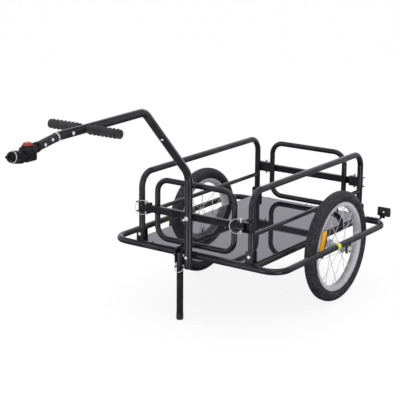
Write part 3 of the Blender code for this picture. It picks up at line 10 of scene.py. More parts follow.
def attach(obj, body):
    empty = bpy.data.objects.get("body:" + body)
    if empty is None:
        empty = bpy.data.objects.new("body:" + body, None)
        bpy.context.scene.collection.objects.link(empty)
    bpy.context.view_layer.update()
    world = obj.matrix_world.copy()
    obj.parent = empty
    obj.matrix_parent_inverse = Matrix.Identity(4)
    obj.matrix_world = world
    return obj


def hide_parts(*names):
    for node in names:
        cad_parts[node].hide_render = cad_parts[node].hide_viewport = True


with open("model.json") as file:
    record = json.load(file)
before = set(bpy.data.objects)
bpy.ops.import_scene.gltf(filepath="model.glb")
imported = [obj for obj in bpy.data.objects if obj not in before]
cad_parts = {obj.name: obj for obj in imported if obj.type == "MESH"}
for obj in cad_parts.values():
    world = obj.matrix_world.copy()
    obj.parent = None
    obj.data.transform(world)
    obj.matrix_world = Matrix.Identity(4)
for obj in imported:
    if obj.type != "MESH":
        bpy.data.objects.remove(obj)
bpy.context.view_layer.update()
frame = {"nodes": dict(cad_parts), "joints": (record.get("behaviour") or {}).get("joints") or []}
nodes = frame["nodes"]
axleY = next(j["pos_m"][1] for j in frame["joints"] if j["name"] == "left_wheel_spin")  # Y starts there below
sideSigns = {"left": 1, "right": -1}
endSigns = {"front": -1, "rear": 1}
alongX, alongY, alongZ = (1, 0, 0), (0, 1, 0), (0, 0, 1)
print("frame loaded:", len(nodes), "nodes, axle at y", round(axleY, 4))


# shapes: points worked out on grids

def unit(v):
    v = np.asarray(v, float)
    return v / np.linalg.norm(v)


def roundAngles(count):
    # evenly spaced angles round one turn
    return np.linspace(0, 2 * np.pi, count, endpoint=False)


def squareTo(axis):
    # two directions at right angles to an axis and to each other
    first = np.array([0, 0, 1.0]) if abs(axis[2]) < 0.9 else np.array([1.0, 0, 0])
    first = unit(first - axis * (first @ axis))
    return first, np.cross(axis, first)


def triples(x, y, z):
    # three numbers or arrays of any matching shapes become points
    return np.stack(np.broadcast_arrays(x, y, z), -1)


def grid(points, wrapRows=False, caps=False):
    # rows of points round a closed line, joined by quads; wrapRows joins the last row to the first, caps
    # closes the first and last row with one face each
    points = np.asarray(points, float)
    rows, cols = points.shape[:2]
    r = np.arange(rows if wrapRows else rows - 1)
    r, c = np.meshgrid(r, np.arange(cols), indexing="ij")
    nextR, nextC = (r + 1) % rows, (c + 1) % cols
    quads = np.stack([r * cols + c, r * cols + nextC, nextR * cols + nextC, nextR * cols + c], -1)
    faces = quads.reshape(-1, 4).tolist()
    if caps:
        faces.append(np.arange(cols)[::-1].tolist())
        faces.append(((rows - 1) * cols + np.arange(cols)).tolist())
    return points.reshape(-1, 3), faces


def bentPath(corners, radii, closed=False, step=7.0):
    # straight runs joined by arcs: an arc starts radius * tan(turn / 2) before its corner
    c = np.asarray(corners, float)
    n = len(c)
    places, ways = [], []
    if not closed:
        places.append(c[:1])
        ways.append(unit(c[1] - c[0])[None])
    for k, i in enumerate(range(n) if closed else range(1, n - 1)):
        before, after = unit(c[i] - c[i - 1]), unit(c[(i + 1) % n] - c[i])
        turn = math.acos(max(-1.0, min(1.0, float(before @ after))))
        inward = np.cross(unit(np.cross(before, after)), before)
        start = c[i] - before * radii[k] * math.tan(turn / 2)
        a = np.linspace(0, turn, max(3, int(math.degrees(turn) / step) + 2))[:, None]
        places.append(start + radii[k] * (before * np.sin(a) + inward * (1 - np.cos(a))))
        ways.append(before * np.cos(a) + inward * np.sin(a))
    if not closed:
        places.append(c[-1:])
        ways.append(unit(c[-1] - c[-2])[None])
    return np.concatenate(places), np.concatenate(ways)


def carried(places, ways, normal, profile):
    # each profile point (a, b) goes to place + a * normal + b * (way x normal)
    profile = np.asarray(profile, float)
    normal = np.broadcast_to(np.asarray(normal, float), places.shape)
    side = np.cross(ways, normal)
    pts = places[:, None] + profile[None, :, :1] * normal[:, None] + profile[None, :, 1:] * side[:, None]
    return grid(pts, caps=True)


def tube(corners, radii, normal, radius, sides=32, closed=False, wall=0.0015, boreDepth=0.014):
    # a round tube on a bent path: circles square to the path, and open ends that turn in to the bore
    places, ways = bentPath(corners, radii, closed)
    size = np.full(len(places), float(radius))
    normal = np.asarray(normal, float)
    if not closed:
        lip, inner = min(0.0006, wall / 2), radius - wall
        steps = np.array([[boreDepth, 0], [boreDepth, inner], [lip, inner], [0, inner + lip / 2],
                          [0, radius - lip], [lip, radius]])
        first = places[0] + steps[:, :1] * ways[0]
        last = places[-1] - steps[::-1, :1] * ways[-1]
        places = np.concatenate([first, places[1:-1], last])
        size = np.concatenate([steps[:, 1], size[1:-1], steps[::-1, 1]])
        starts, stops = np.repeat(ways[:1], len(steps), 0), np.repeat(ways[-1:], len(steps), 0)
        ways = np.concatenate([starts, ways[1:-1], stops])
    side = np.cross(ways, normal)
    a = roundAngles(sides)
    ring = np.cos(a)[None, :, None] * normal + np.sin(a)[None, :, None] * side[:, None]
    return grid(places[:, None] + size[:, None, None] * ring, wrapRows=closed)


def turned(profile, origin, axis, sides=28, ring=False):
    # (along, radius) points spun round an axis; radius 0 makes a pole, ring closes the profile
    profile = np.asarray(profile, float)
    axis = unit(axis)
    first, second = squareTo(axis)
    a = roundAngles(sides)
    spun = np.cos(a)[:, None] * first + np.sin(a)[:, None] * second
    pts = np.asarray(origin, float) + profile[:, None, :1] * axis + profile[:, None, 1:] * spun[None]
    return grid(pts, wrapRows=ring)


def slab(outline, direction, low, high):
    # a flat outline pushed along x, y or z; its two numbers fill the other axes in order
    outline = np.asarray(outline, float)
    k = "xyz".index(direction)
    pts = np.zeros((2, len(outline), 3))
    pts[:, :, [i for i in range(3) if i != k]] = outline
    pts[0, :, k], pts[1, :, k] = low, high
    return grid(pts, caps=True)


def block(low, high):
    # a rectangle from one corner to the other, pushed along z
    low, high = np.minimum(low, high), np.maximum(low, high)
    corners = [(low[0], low[1]), (high[0], low[1]), (high[0], high[1]), (low[0], high[1])]
    return slab(corners, "z", low[2], high[2])


def roundedBox(halfA, halfB, radius, steps=4):
    # the four corner arcs of a rectangle, counter-clockwise
    a = np.linspace(0, np.pi / 2, steps + 1)
    quarter = np.arange(4)[:, None] * np.pi / 2 + a[None]
    signs = np.array([[1, 1], [-1, 1], [-1, -1], [1, -1]])
    middle = signs * np.array([halfA - radius, halfB - radius])
    return (middle[:, None] + radius * np.stack([np.cos(quarter), np.sin(quarter)], -1)).reshape(-1, 2)


def insetBox(halfA, halfB, radius, inset, steps=6):
    # a rounded rectangle moved in by inset; None gives its middle, which closes a surface
    if inset is None:
        return np.zeros((4 * steps + 4, 2))
    return roundedBox(halfA - inset, halfB - inset, radius, steps)


def weldBead(centre, axis, radius, thick=0.0016, ripples=26):
    # a rippled ring: the tube of a torus swells with sin(ripples * angle)
    u, v = roundAngles(ripples * 4), roundAngles(8)
    axis = unit(axis)
    first, second = squareTo(axis)
    out = np.cos(u)[:, None] * first + np.sin(u)[:, None] * second
    fat = thick * (1 + 0.16 * np.sin(ripples * u))[:, None, None]
    reach = radius + fat * np.cos(v)[None, :, None]
    pts = np.asarray(centre, float) + out[:, None] * reach + fat * np.sin(v)[None, :, None] * axis
    return grid(pts, wrapRows=True)


def rippled(u, thick, share):
    # thickness of a straight bead along u: thick * (1 + share * sin(2600 * u)), u in metres
    return thick * (1 + share * np.sin(u * 2600))


def straightBead(centre, u, fat):
    # a bead laid along X: a ring of radius fat at each step u
    v, u, fat = roundAngles(8), u[:, None], fat[:, None]
    return grid(triples(centre[0] + u, centre[1] + fat * np.cos(v), centre[2] + fat * np.sin(v)), caps=True)


def mirrored(profile):
    # (along, radius) points from one side's face to the middle, then on to the other side's face
    return profile + [(-along, radius) for along, radius in reversed(profile)]


slotLooks = {
    "black_powder_coat": ("frameCoat", "gateCoat", "litArmCoat", "pressedPlate"),
    "black_plastic": ("couplerPlastic", "reflectorBody"),
    "soft_rubber": ("gripRubber", "capRubber", "tubeRubber"),
    "zinc_steel": ("zincBolt", "wireSteel", "clipSteel", "spokeSteel"),
    "rim_aluminium": ("rimAlloy", "hubAlloy"),
    "tyre_rubber": ("tyreRubber",),
    "grey_deck": ("deckBoard",),
    "red_plastic": ("buttonRed",),
    "amber_lens": ("amberLens",),
    "red_lens": ("redLens",),
}
slotOf = {look: slot for slot, names in slotLooks.items() for look in names}


def makePiece(name, shapes, body, look, hides=None, slot="", angle=38, bevel=0.0, bevelSteps=2):
    # one mesh from (points, faces) shapes; the slot ("" for the look's own, None for none) is worked out but not
    # used
    points, faces, count = [], [], 0
    for shapePoints, shapeFaces in shapes if isinstance(shapes, list) else [shapes]:
        points.append(shapePoints)
        faces += [[i + count for i in face] for face in shapeFaces]
        count += len(shapePoints)
    mesh = bpy.data.meshes.new(name)
    mesh.from_pydata((np.concatenate(points) + np.array([0, axleY, 0])).tolist(), [], faces)
    bm = bmesh.new()
    bm.from_mesh(mesh)
    bmesh.ops.remove_doubles(bm, verts=bm.verts, dist=1e-7)
    bmesh.ops.dissolve_degenerate(bm, edges=bm.edges, dist=1e-8)
    bmesh.ops.recalc_face_normals(bm, faces=bm.faces)
    bm.to_mesh(mesh)
    bm.free()
    mesh.shade_smooth()
    mesh.set_sharp_from_angle(angle=math.radians(angle))
    mesh.materials.append(looks[look])
    piece = bpy.data.objects.new(name, mesh)
    bpy.context.scene.collection.objects.link(piece)
    if bevel:
        edge = piece.modifiers.new("edge", "BEVEL")
        edge.width, edge.segments, edge.limit_method = bevel, bevelSteps, "ANGLE"
        edge.angle_limit = math.radians(40)
        edge.harden_normals = True
    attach(piece, body)
    if hides:
        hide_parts(hides)
    slot = slotOf.get(look) if slot == "" else slot


# finishes

def feed(tree, socket, value):
    # a socket takes a link from another node's output, or a plain value
    if isinstance(value, bpy.types.NodeSocket):
        tree.links.new(value, socket)
    elif socket.type == "RGBA":
        socket.default_value = (*value, 1)
    else:
        socket.default_value = value


def addNode(tree, kind, *inputs, **named):
    # inputs go in by order; named ones are the node's own options or inputs by their label
    node = tree.nodes.new("ShaderNode" + kind)
    for key, value in named.items():
        if hasattr(node, key):
            setattr(node, key, value)
        else:
            feed(tree, node.inputs[key.replace("_", " ")], value)
    for socket, value in zip(node.inputs, inputs):
        feed(tree, socket, value)
    return node


def calc(tree, operation, *values):
    # a Math node's result
    return addNode(tree, "Math", *values, operation=operation).outputs["Value"]


def dotProduct(tree, vector, way):
    return addNode(tree, "VectorMath", vector, way, operation="DOT_PRODUCT").outputs["Value"]


def mapRange(tree, value, low, high, fromLow=0.3, fromHigh=0.7):
    # fromLow to fromHigh becomes low to high, and stops there; most noise lies from 0.3 to 0.7
    return addNode(tree, "MapRange", value, fromLow, fromHigh, low, high).outputs["Result"]


def mixColours(tree, factor, a, b):
    # a at factor 0, b at factor 1
    mix = addNode(tree, "Mix", factor, data_type="RGBA")
    feed(tree, mix.inputs[6], a)
    feed(tree, mix.inputs[7], b)
    return mix.outputs[2]


def mixShaders(tree, factor, first, second):
    return addNode(tree, "MixShader", factor, first, second).outputs["Shader"]


def noise(tree, vector, scale, detail):
    return addNode(tree, "TexNoise", Vector=vector, Scale=scale, Detail=detail).outputs["Fac"]


def startGroup(name, inputs, outputs):
    # a group of nodes with a Vector and float inputs, and float outputs
    tree = bpy.data.node_groups.new(name, "ShaderNodeTree")
    tree.interface.new_socket("Vector", in_out="INPUT", socket_type="NodeSocketVector")
    for way, labels in (("INPUT", inputs), ("OUTPUT", outputs)):
        for label in labels:
            tree.interface.new_socket(label, in_out=way, socket_type="NodeSocketFloat")
    return tree, tree.nodes.new("NodeGroupInput").outputs, tree.nodes.new("NodeGroupOutput").inputs


wear = dict(scuffScale=55.0, scuffTurn=(0.4, 0.9, 0.3), scuffStretch=(1.0, 0.12, 1.0), scuffEdge=(0.64, 0.74),
            dustScale=16.0, dustFine=900, dustEdge=(0.18, 0.45), dustTone=(0.30, 0.29, 0.27), bumpDepth=0.0004,
            speckleEdge=(0.52, 0.66), speckleLift=1.35, mottleEdge=(0.50, 0.72), coatRough=0.08)


def grainGroup():
    # fine grain and broad clouding on Object coordinates: masks and a height, nothing uniform
    g, enter, leave = startGroup("fineGrain", ("Scale", "Cloud Scale"), ("Grain", "Cloud"))
    g.links.new(noise(g, enter["Vector"], enter["Scale"], 4), leave["Grain"])
    g.links.new(noise(g, enter["Vector"], enter["Cloud Scale"], 3), leave["Cloud"])
    return g


def scuffGroup():
    # thin short scratches: a stretched noise whose peaks alone are kept
    g, enter, leave = startGroup("lightScuffs", ("Scale", "Amount"), ("Mask",))
    stretch = addNode(g, "Mapping", Vector=enter["Vector"], Rotation=wear["scuffTurn"], Scale=wear["scuffStretch"])
    peaks = mapRange(g, noise(g, stretch.outputs["Vector"], enter["Scale"], 6), 0, 1, *wear["scuffEdge"])
    g.links.new(calc(g, "MULTIPLY", peaks, enter["Amount"]), leave["Mask"])
    return g


def dustGroup():
    # soft dust in patches: two noises multiplied, then limited
    g, enter, leave = startGroup("settledDust", ("Scale", "Amount"), ("Mask",))
    broad, fine = noise(g, enter["Vector"], enter["Scale"], 2), noise(g, enter["Vector"], wear["dustFine"], 3)
    patches = mapRange(g, calc(g, "MULTIPLY", broad, fine), 0, 1, *wear["dustEdge"])
    g.links.new(calc(g, "MULTIPLY", patches, enter["Amount"]), leave["Mask"])
    return g


groups = {"grain": grainGroup(), "scuff": scuffGroup(), "dust": dustGroup()}


def useGroup(tree, key, vector, **values):
    return addNode(tree, "Group", node_tree=groups[key], Vector=vector, **values).outputs


# base and shade are the two tones that clouding mixes; rough is the low and high roughness; grain and
# cloud are scales of noise; scuff and dust are amounts
darkCoat = dict(base=(0.0070, 0.0065, 0.0112), shade=(0.0100, 0.0093, 0.0150), rough=(0.13, 0.20), grain=1400,
                bump=0.05, scuffTone=(0.09, 0.09, 0.095), coat=0.25, ior=1.38)
finishes = {
    "frameCoat": dict(darkCoat, cloud=9, scuff=0.25, dust=0.10),
    "gateCoat": dict(darkCoat, cloud=11, scuff=0.22, dust=0.08),
    # the arm's coat is the frame's black coat made lighter: a painted highlight on the arm and handle
    "litArmCoat": dict(darkCoat, base=(0.0112, 0.0105, 0.0156), shade=(0.0156, 0.0148, 0.0208), cloud=8, bump=0.04,
                    scuff=0.20, dust=0.06),
    "weldMetal": dict(base=(0.020, 0.020, 0.022), shade=(0.032, 0.032, 0.034), rough=(0.40, 0.55),
                      grain=2600, cloud=60, bump=0.25, scuff=0.10, scuffTone=(0.08, 0.08, 0.08), dust=0.10),
    "pressedPlate": dict(base=(0.0075, 0.0072, 0.0105), shade=(0.0120, 0.0115, 0.0150), rough=(0.34, 0.48),
                         grain=1800, cloud=22, bump=0.08, scuff=0.35, scuffTone=(0.12, 0.12, 0.125),
                         dust=0.10, coat=0.15, ior=1.40),
    "deckBoard": dict(base=(0.009, 0.0086, 0.012), shade=(0.014, 0.0135, 0.018), rough=(0.025, 0.06),
                      grain=700, cloud=4, bump=0.006, scuff=0.06, scuffTone=(0.14, 0.14, 0.15), dust=0.03,
                      speckle=0.4, ior=1.85),
    "tyreRubber": dict(base=(0.0115, 0.0108, 0.0165), shade=(0.0155, 0.0147, 0.0210), rough=(0.50, 0.68),
                       grain=1100, cloud=14, bump=0.22, scuff=0.12, scuffTone=(0.07, 0.07, 0.075),
                       dust=0.05, ior=1.42, mottle=190, mottleTone=(0.085, 0.081, 0.096)),
    "gripRubber": dict(base=(0.0090, 0.0088, 0.0110), shade=(0.0150, 0.0147, 0.0180), rough=(0.38, 0.52),
                       grain=2200, cloud=40, bump=0.18, scuff=0.12, scuffTone=(0.06, 0.06, 0.06),
                       dust=0.14, ior=1.42),
    "capRubber": dict(base=(0.012, 0.012, 0.013), shade=(0.022, 0.022, 0.023), rough=(0.58, 0.74),
                      grain=1500, cloud=40, bump=0.20, scuff=0.35, scuffTone=(0.08, 0.08, 0.08), dust=0.25),
    "tubeRubber": dict(base=(0.018, 0.018, 0.019), shade=(0.028, 0.028, 0.029), rough=(0.55, 0.70),
                       grain=1500, cloud=20, bump=0.10, scuff=0.10, scuffTone=(0.06, 0.06, 0.06), dust=0.05),
    "rimAlloy": dict(base=(0.52, 0.52, 0.56), shade=(0.62, 0.62, 0.66), rough=(0.30, 0.42), metal=0.20,
                     grain=1600, cloud=7, bump=0.05, scuff=0.30, scuffTone=(0.42, 0.42, 0.44), dust=0.08),
    "hubAlloy": dict(base=(0.50, 0.50, 0.53), shade=(0.58, 0.58, 0.60), rough=(0.30, 0.44), metal=0.45,
                     grain=2200, cloud=30, bump=0.06, scuff=0.20, scuffTone=(0.30, 0.30, 0.32), dust=0.10),
    "spokeSteel": dict(base=(0.62, 0.62, 0.65), shade=(0.74, 0.74, 0.76), rough=(0.22, 0.34), metal=0.25,
                       grain=3000, cloud=25, bump=0.03, scuff=0.10, scuffTone=(0.35, 0.35, 0.36), dust=0.05),
    "zincBolt": dict(base=(0.76, 0.76, 0.78), shade=(0.86, 0.86, 0.87), rough=(0.18, 0.32), metal=0.35,
                     grain=2600, cloud=90, bump=0.06, scuff=0.25, scuffTone=(0.45, 0.45, 0.46), dust=0.06),
    "wireSteel": dict(base=(0.52, 0.52, 0.55), shade=(0.64, 0.64, 0.67), rough=(0.16, 0.28), metal=0.30,
                      grain=3000, cloud=60, bump=0.03, scuff=0.15, scuffTone=(0.45, 0.45, 0.46), dust=0.04),
    "clipSteel": dict(base=(0.56, 0.56, 0.59), shade=(0.66, 0.66, 0.69), rough=(0.22, 0.34), metal=0.35,
                      grain=2400, cloud=80, bump=0.05, scuff=0.25, scuffTone=(0.5, 0.5, 0.5), dust=0.05),
    "couplerPlastic": dict(base=(0.0025, 0.0025, 0.0036), shade=(0.0045, 0.0045, 0.006), rough=(0.16, 0.26),
                           grain=1700, cloud=35, bump=0.14, scuff=0.25, scuffTone=(0.05, 0.05, 0.055),
                           dust=0.10, ior=1.26),
    "buttonRed": dict(base=(0.33, 0.022, 0.014), shade=(0.42, 0.036, 0.020), rough=(0.30, 0.42),
                      grain=1700, cloud=40, bump=0.08, scuff=0.20, scuffTone=(0.75, 0.20, 0.13), dust=0.08),
    "limeBand": dict(base=(0.56, 0.62, 0.035), shade=(0.66, 0.70, 0.060), rough=(0.38, 0.50),
                     grain=1800, cloud=70, bump=0.05, scuff=0.25, scuffTone=(0.70, 0.73, 0.35), dust=0.05),
    "amberShell": dict(base=(0.050, 0.018, 0.007), shade=(0.075, 0.028, 0.010), rough=(0.36, 0.50),
                       grain=1600, cloud=50, bump=0.10, scuff=0.20, scuffTone=(0.09, 0.06, 0.05), dust=0.10),
    "reflectorBody": dict(base=(0.011, 0.011, 0.012), shade=(0.018, 0.018, 0.020), rough=(0.36, 0.50),
                          grain=1600, cloud=50, bump=0.10, scuff=0.20, scuffTone=(0.05, 0.05, 0.05), dust=0.10),
}
# the tone in the valleys is painted shade in the prism creases
lenses = {"amberLens": ((0.98, 0.60, 0.050), (0.86, 0.38, 0.008)),  # face tone, tone in the valleys
          "redLens": ((0.72, 0.015, 0.012), (0.32, 0.004, 0.004))}
prism = dict(turn=0.6, scale=62, rough=(0.10, 0.22), bump=0.55, depth=0.0008, coat=0.6)
looks = {}


def startLook(name, base):
    # a new material: its tree, its Principled shader and its Object coordinates
    mat = bpy.data.materials.new(name)
    mat.use_nodes = True
    mat.diffuse_color = (*base, 1)
    looks[name] = mat
    tree = mat.node_tree
    return tree, tree.nodes["Principled BSDF"], addNode(tree, "TexCoord").outputs["Object"]


def setShader(tree, shader, **values):
    for label, value in values.items():
        feed(tree, shader.inputs[label.replace("_", " ")], value)


def bumped(tree, height, strength, distance):
    # a normal that leans with the height's slope
    return addNode(tree, "Bump", Strength=strength, Distance=distance, Height=height).outputs["Normal"]


def makeFinish(name, v):
    # cloud mixes base with shade, then speckle, mottle, scuffs and dust are laid over it by their masks
    tree, shader, where = startLook(name, v["base"])
    grain = useGroup(tree, "grain", where, Scale=v["grain"], Cloud_Scale=v["cloud"])
    scuff = useGroup(tree, "scuff", where, Scale=wear["scuffScale"], Amount=v["scuff"])
    dust = useGroup(tree, "dust", where, Scale=wear["dustScale"], Amount=v["dust"])
    tone = mixColours(tree, mapRange(tree, grain["Cloud"], 0, 1), v["base"], v["shade"])
    if "speckle" in v:
        spots = mapRange(tree, grain["Grain"], 0, v["speckle"], *wear["speckleEdge"])
        tone = mixColours(tree, spots, tone, tuple(c * wear["speckleLift"] for c in v["base"]))
    if "mottle" in v:
        blotch = useGroup(tree, "grain", where, Scale=v["mottle"], Cloud_Scale=v["mottle"] * 0.6)
        blotch = mapRange(tree, blotch["Grain"], 0, 1, *wear["mottleEdge"])
        tone = mixColours(tree, blotch, tone, v["mottleTone"])
    tone = mixColours(tree, scuff["Mask"], tone, v["scuffTone"])
    tone = mixColours(tree, dust["Mask"], tone, wear["dustTone"])
    setShader(tree, shader, Base_Color=tone, Roughness=mapRange(tree, grain["Grain"], *v["rough"]),
              Metallic=v.get("metal", 0.0), Coat_Weight=v.get("coat", 0.0),
              Coat_Roughness=min(wear["coatRough"], v["rough"][0]), IOR=v.get("ior", 1.5),
              Normal=bumped(tree, grain["Grain"], v["bump"], wear["bumpDepth"]))


def makeLens(name, base, deep):
    # prism rows of a reflector: two crossed triangle waves, with a darker tone in the valleys that is painted shade
    tree, shader, where = startLook(name, base)
    waves = []
    for turn in (prism["turn"], -prism["turn"]):
        leaned = addNode(tree, "Mapping", Vector=where, Rotation=(turn, 0, turn)).outputs["Vector"]
        wave = addNode(tree, "TexWave", leaned, prism["scale"], wave_profile="TRI", bands_direction="Z")
        waves.append(wave.outputs["Fac"])
    both = calc(tree, "MULTIPLY", *waves)
    setShader(tree, shader, Base_Color=mixColours(tree, both, deep, base), Coat_Weight=prism["coat"],
              Coat_Roughness=wear["coatRough"], Roughness=mapRange(tree, both, *prism["rough"], 0, 1),
              Normal=bumped(tree, both, prism["bump"], prism["depth"]))


for finishName, values in finishes.items():
    makeFinish(finishName, values)
for lensName, tones in lenses.items():
    makeLens(lensName, *tones)
print("finishes made:", len(looks))


# small parts

def domeBolt(seat, way, radius=0.0062, head=0.0036, shank=0.003, length=0.02):
    # pan head with a rolled edge and a round-bottomed drive, then a plain shank
    crown = [(0.45, 0), (0.45, 0.30), (0.9, 0.36), (1, 0.48), (0.86, 0.74), (0.5, 0.94), (0.15, 1), (0, 0.98)]
    profile = [(-head * up, radius * out) for up, out in crown] + [(0, shank), (length, shank)]
    end = length + shank * 0.3
    return turned(profile + [(end, shank * 0.7), (end, 0)], seat, way, 24)


def hexNut(seat, way, radius=0.0064, thick=0.005, bore=0.003):
    # six flats whose corners are turned down at both faces, and a round collar on top
    flats = [(thick * up, radius * out) for up, out in ((0, 0.92), (0.12, 1), (0.7, 1), (0.8, 0.9))]
    collar = [(thick * up, radius * out) for up, out in ((0.8, 0.78), (0.95, 0.74), (1, 0.62))]
    body = turned([(0, bore)] + flats + [(thick * 0.8, bore)], seat, way, 6, ring=True)
    top = [(thick * 0.8, bore * 0.96)] + collar + [(thick, bore * 0.96)]
    return [body, turned(top, seat, way, 24, ring=True)]


def washer(seat, way, inner, outer, thick):
    # a flat ring: its rectangular section turned round the bolt
    return turned([(0, inner), (0, outer), (thick, outer), (thick, inner)], seat, way, 28, ring=True)


def crossScrew(seat, way, radius=0.0042):
    # low dome with a dished middle
    crown = [(0.20, 0), (0.22, 0.20), (0.46, 0.30), (0.48, 0.45), (0.36, 0.75), (0.12, 0.97), (0, 1), (-0.2, 1),
             (-0.2, 0)]
    return turned([(-radius * up, radius * out) for up, out in crown], seat, way, 20)


# base frame

base = dict(halfWidth=0.345, front=0.472, rear=0.281, height=0.229, radius=0.011, corner=0.058, railX=0.238,
            crossY=-0.090, reach=0.006, weldIn=0.0095, beadOff=0.0003, bead=0.0017)
foot = dict(sideX=0.227, halfX=0.014, inner=0.0116, plate=0.0025, low=0.2403, top=0.284, corner=0.005,
            weldOff=0.0052, weldUp=0.0104, bolt=0.0364)
posts = {"front": -0.458, "rear": 0.282}
foldZ = 0.2645
play = 0.0003  # gap between a bolt's head or nut and the face it sits on


def frameBead(centre, axis):
    # a weld bead round a tube of the base frame
    return weldBead(centre, axis, base["radius"] + base["beadOff"], base["bead"])


def makeBase():
    # round tubes: a closed loop with four bends, two straight inner rails and a cross member, with beads
    # where they meet
    b, z = base, base["height"]
    wide, front, rear, reach = b["halfWidth"], -b["front"], b["rear"], b["reach"]
    loop = [(wide, front, z), (wide, rear, z), (-wide, rear, z), (-wide, front, z)]
    loop = tube(loop, [b["corner"]] * 4, alongZ, b["radius"], 36, closed=True)
    makePiece("baseLoop", loop, "frame", "frameCoat", "base_loop")
    for side, s in sideSigns.items():
        x = s * b["railX"]
        rail = tube([(x, front + reach, z), (x, rear - reach, z)], [], alongZ, b["radius"])
        makePiece(side + "InnerRail", rail, "frame", "frameCoat", side + "_inner_rail")
        beads = [frameBead((x, y, z), alongY) for y in (front + b["weldIn"], rear - b["weldIn"])]
        makePiece(side + "RailWelds", beads, "frame", "weldMetal")
    inside = b["railX"] - reach
    cross = tube([(-inside, b["crossY"], z), (inside, b["crossY"], z)], [], alongZ, b["radius"])
    makePiece("crossMember", cross, "frame", "frameCoat", "cross_member")
    beads = [frameBead((s * (b["railX"] - b["weldIn"]), b["crossY"], z), alongX) for s in (1, -1)]
    makePiece("crossWelds", beads, "frame", "weldMetal")


def makeFootBracket(end, es, side, s):
    # a channel of a floor and two cheeks with round upper corners, its two beads and its fold bolt
    f, x, y0, name = foot, s * foot["sideX"], posts[end], end + side.title()
    halfX, r, outer = f["halfX"], f["corner"], f["inner"] + f["plate"]
    a = np.linspace(0, np.pi / 2, 6)
    arc = [(halfX - r * (1 - math.cos(t)), f["top"] - r * (1 - math.sin(t))) for t in a]
    cheek = [(x - halfX, f["low"]), (x + halfX, f["low"])]
    cheek += [(x + out, z) for out, z in arc] + [(x - out, z) for out, z in reversed(arc)]
    shapes = [slab(cheek, "y", *sorted((y0 + k * f["inner"], y0 + k * outer))) for k in (-1, 1)]
    shapes.append(block((x - halfX, y0 - outer, f["low"]), (x + halfX, y0 + outer, f["low"] + f["plate"])))
    makePiece(name + "FootBracket", shapes, "frame", "pressedPlate", bevel=0.0007)
    barY = base["rear"] if es > 0 else -base["front"]
    u = np.linspace(-halfX + 0.001, halfX - 0.001, 40)
    fat = rippled(u, 0.0016, 0.18)
    fat[[0, -1]] *= 0.2
    high = base["height"] + f["weldUp"]
    beads = [straightBead((x, barY + k * f["weldOff"], high), u, fat) for k in (-1, 1)]
    makePiece(name + "FootWeld", beads, "frame", "weldMetal")
    face, inward = outer + play, np.array([0, -es, 0])
    seat = np.array([x, y0 + es * face, foldZ])
    parts = [domeBolt(seat, inward, length=f["bolt"])] + hexNut(seat + inward * 2 * face, inward)
    makePiece(name + "FoldBolt", parts, "frame", "zincBolt", end + "_" + side + "_fold_bolt")


dropouts = dict(half=0.020, bottom=0.183, round=0.011, thick=0.004, slot=0.0053, outerX=0.341, innerX=0.242,
                axleZ=0.200, under=0.0098)


def makeDropout(side, s, label):
    # a hanging plate with round lower corners and a slot that opens downward
    d, r, w = dropouts, dropouts["round"], dropouts["slot"]
    top, middle = base["height"] - d["under"], s * d[label.lower() + "X"]
    left = [(-d["half"], top)]
    left += [(-d["half"] + r * (1 - math.cos(t)), d["bottom"] + r * (1 - math.sin(t)))
             for t in np.linspace(0, np.pi / 2, 7)]
    left.append((-w, d["bottom"]))
    slot = [(w * math.cos(t), d["axleZ"] + w * math.sin(t)) for t in np.linspace(np.pi, 0, 13)]
    outline = left + slot + [(-y, z) for y, z in reversed(left)]
    plate = slab(outline, "x", middle - d["thick"] / 2, middle + d["thick"] / 2)
    makePiece(side + label + "Dropout", plate, "frame", "pressedPlate", bevel=0.0006)


deck = dict(halfWidth=0.243, front=0.478, rear=0.287, low=0.2403, top=0.2453, insideX=0.2115, clear=0.0156,
            screws=0.170)


def makeDeck():
    # a flat board, narrower in front of and behind the hoops' posts
    d, wide, inside = deck, deck["halfWidth"], deck["insideX"]
    front, rear = posts["front"] + d["clear"], posts["rear"] - d["clear"]
    edge = [(inside, -d["front"]), (inside, front), (wide, front), (wide, rear), (inside, rear),
            (inside, d["rear"])]
    board = slab(edge + [(-x, y) for x, y in reversed(edge)], "z", d["low"], d["top"])
    makePiece("deckBoardPanel", board, "frame", "deckBoard", "deck_panel", bevel=0.0012, bevelSteps=3)
    spots = [(k, base["rear"]) for k in (-1, 0, 1)] + [(k, -base["front"]) for k in (-1, 1)]
    screws = [crossScrew((k * d["screws"], y, d["top"]), (0, 0, -1)) for k, y in spots]
    makePiece("deckScrews", screws, "frame", "pressedPlate")


makeBase()
for side, s in sideSigns.items():
    for end, es in endSigns.items():
        makeFootBracket(end, es, side, s)
    makeDropout(side, s, "Outer")
    makeDropout(side, s, "Inner")
makeDeck()
print("base frame and deck done")


# folding sides and their jaws

hoop = dict(top=0.4805, radius=0.011, bend=0.052, footZ=0.2525, railZ=0.335, railR=0.0075, reach=0.006,
            weldIn=0.0100, beadOff=0.0002, bead=0.0014)
jaw = dict(near=0.177, far=0.236, tip=0.02605, face=0.00945, plate=0.0025, inner=0.0153, pinX=0.196,
           slotIn=0.1915, slotOut=0.2045, slotBack=0.01305, slotCut=0.003, z=0.366)


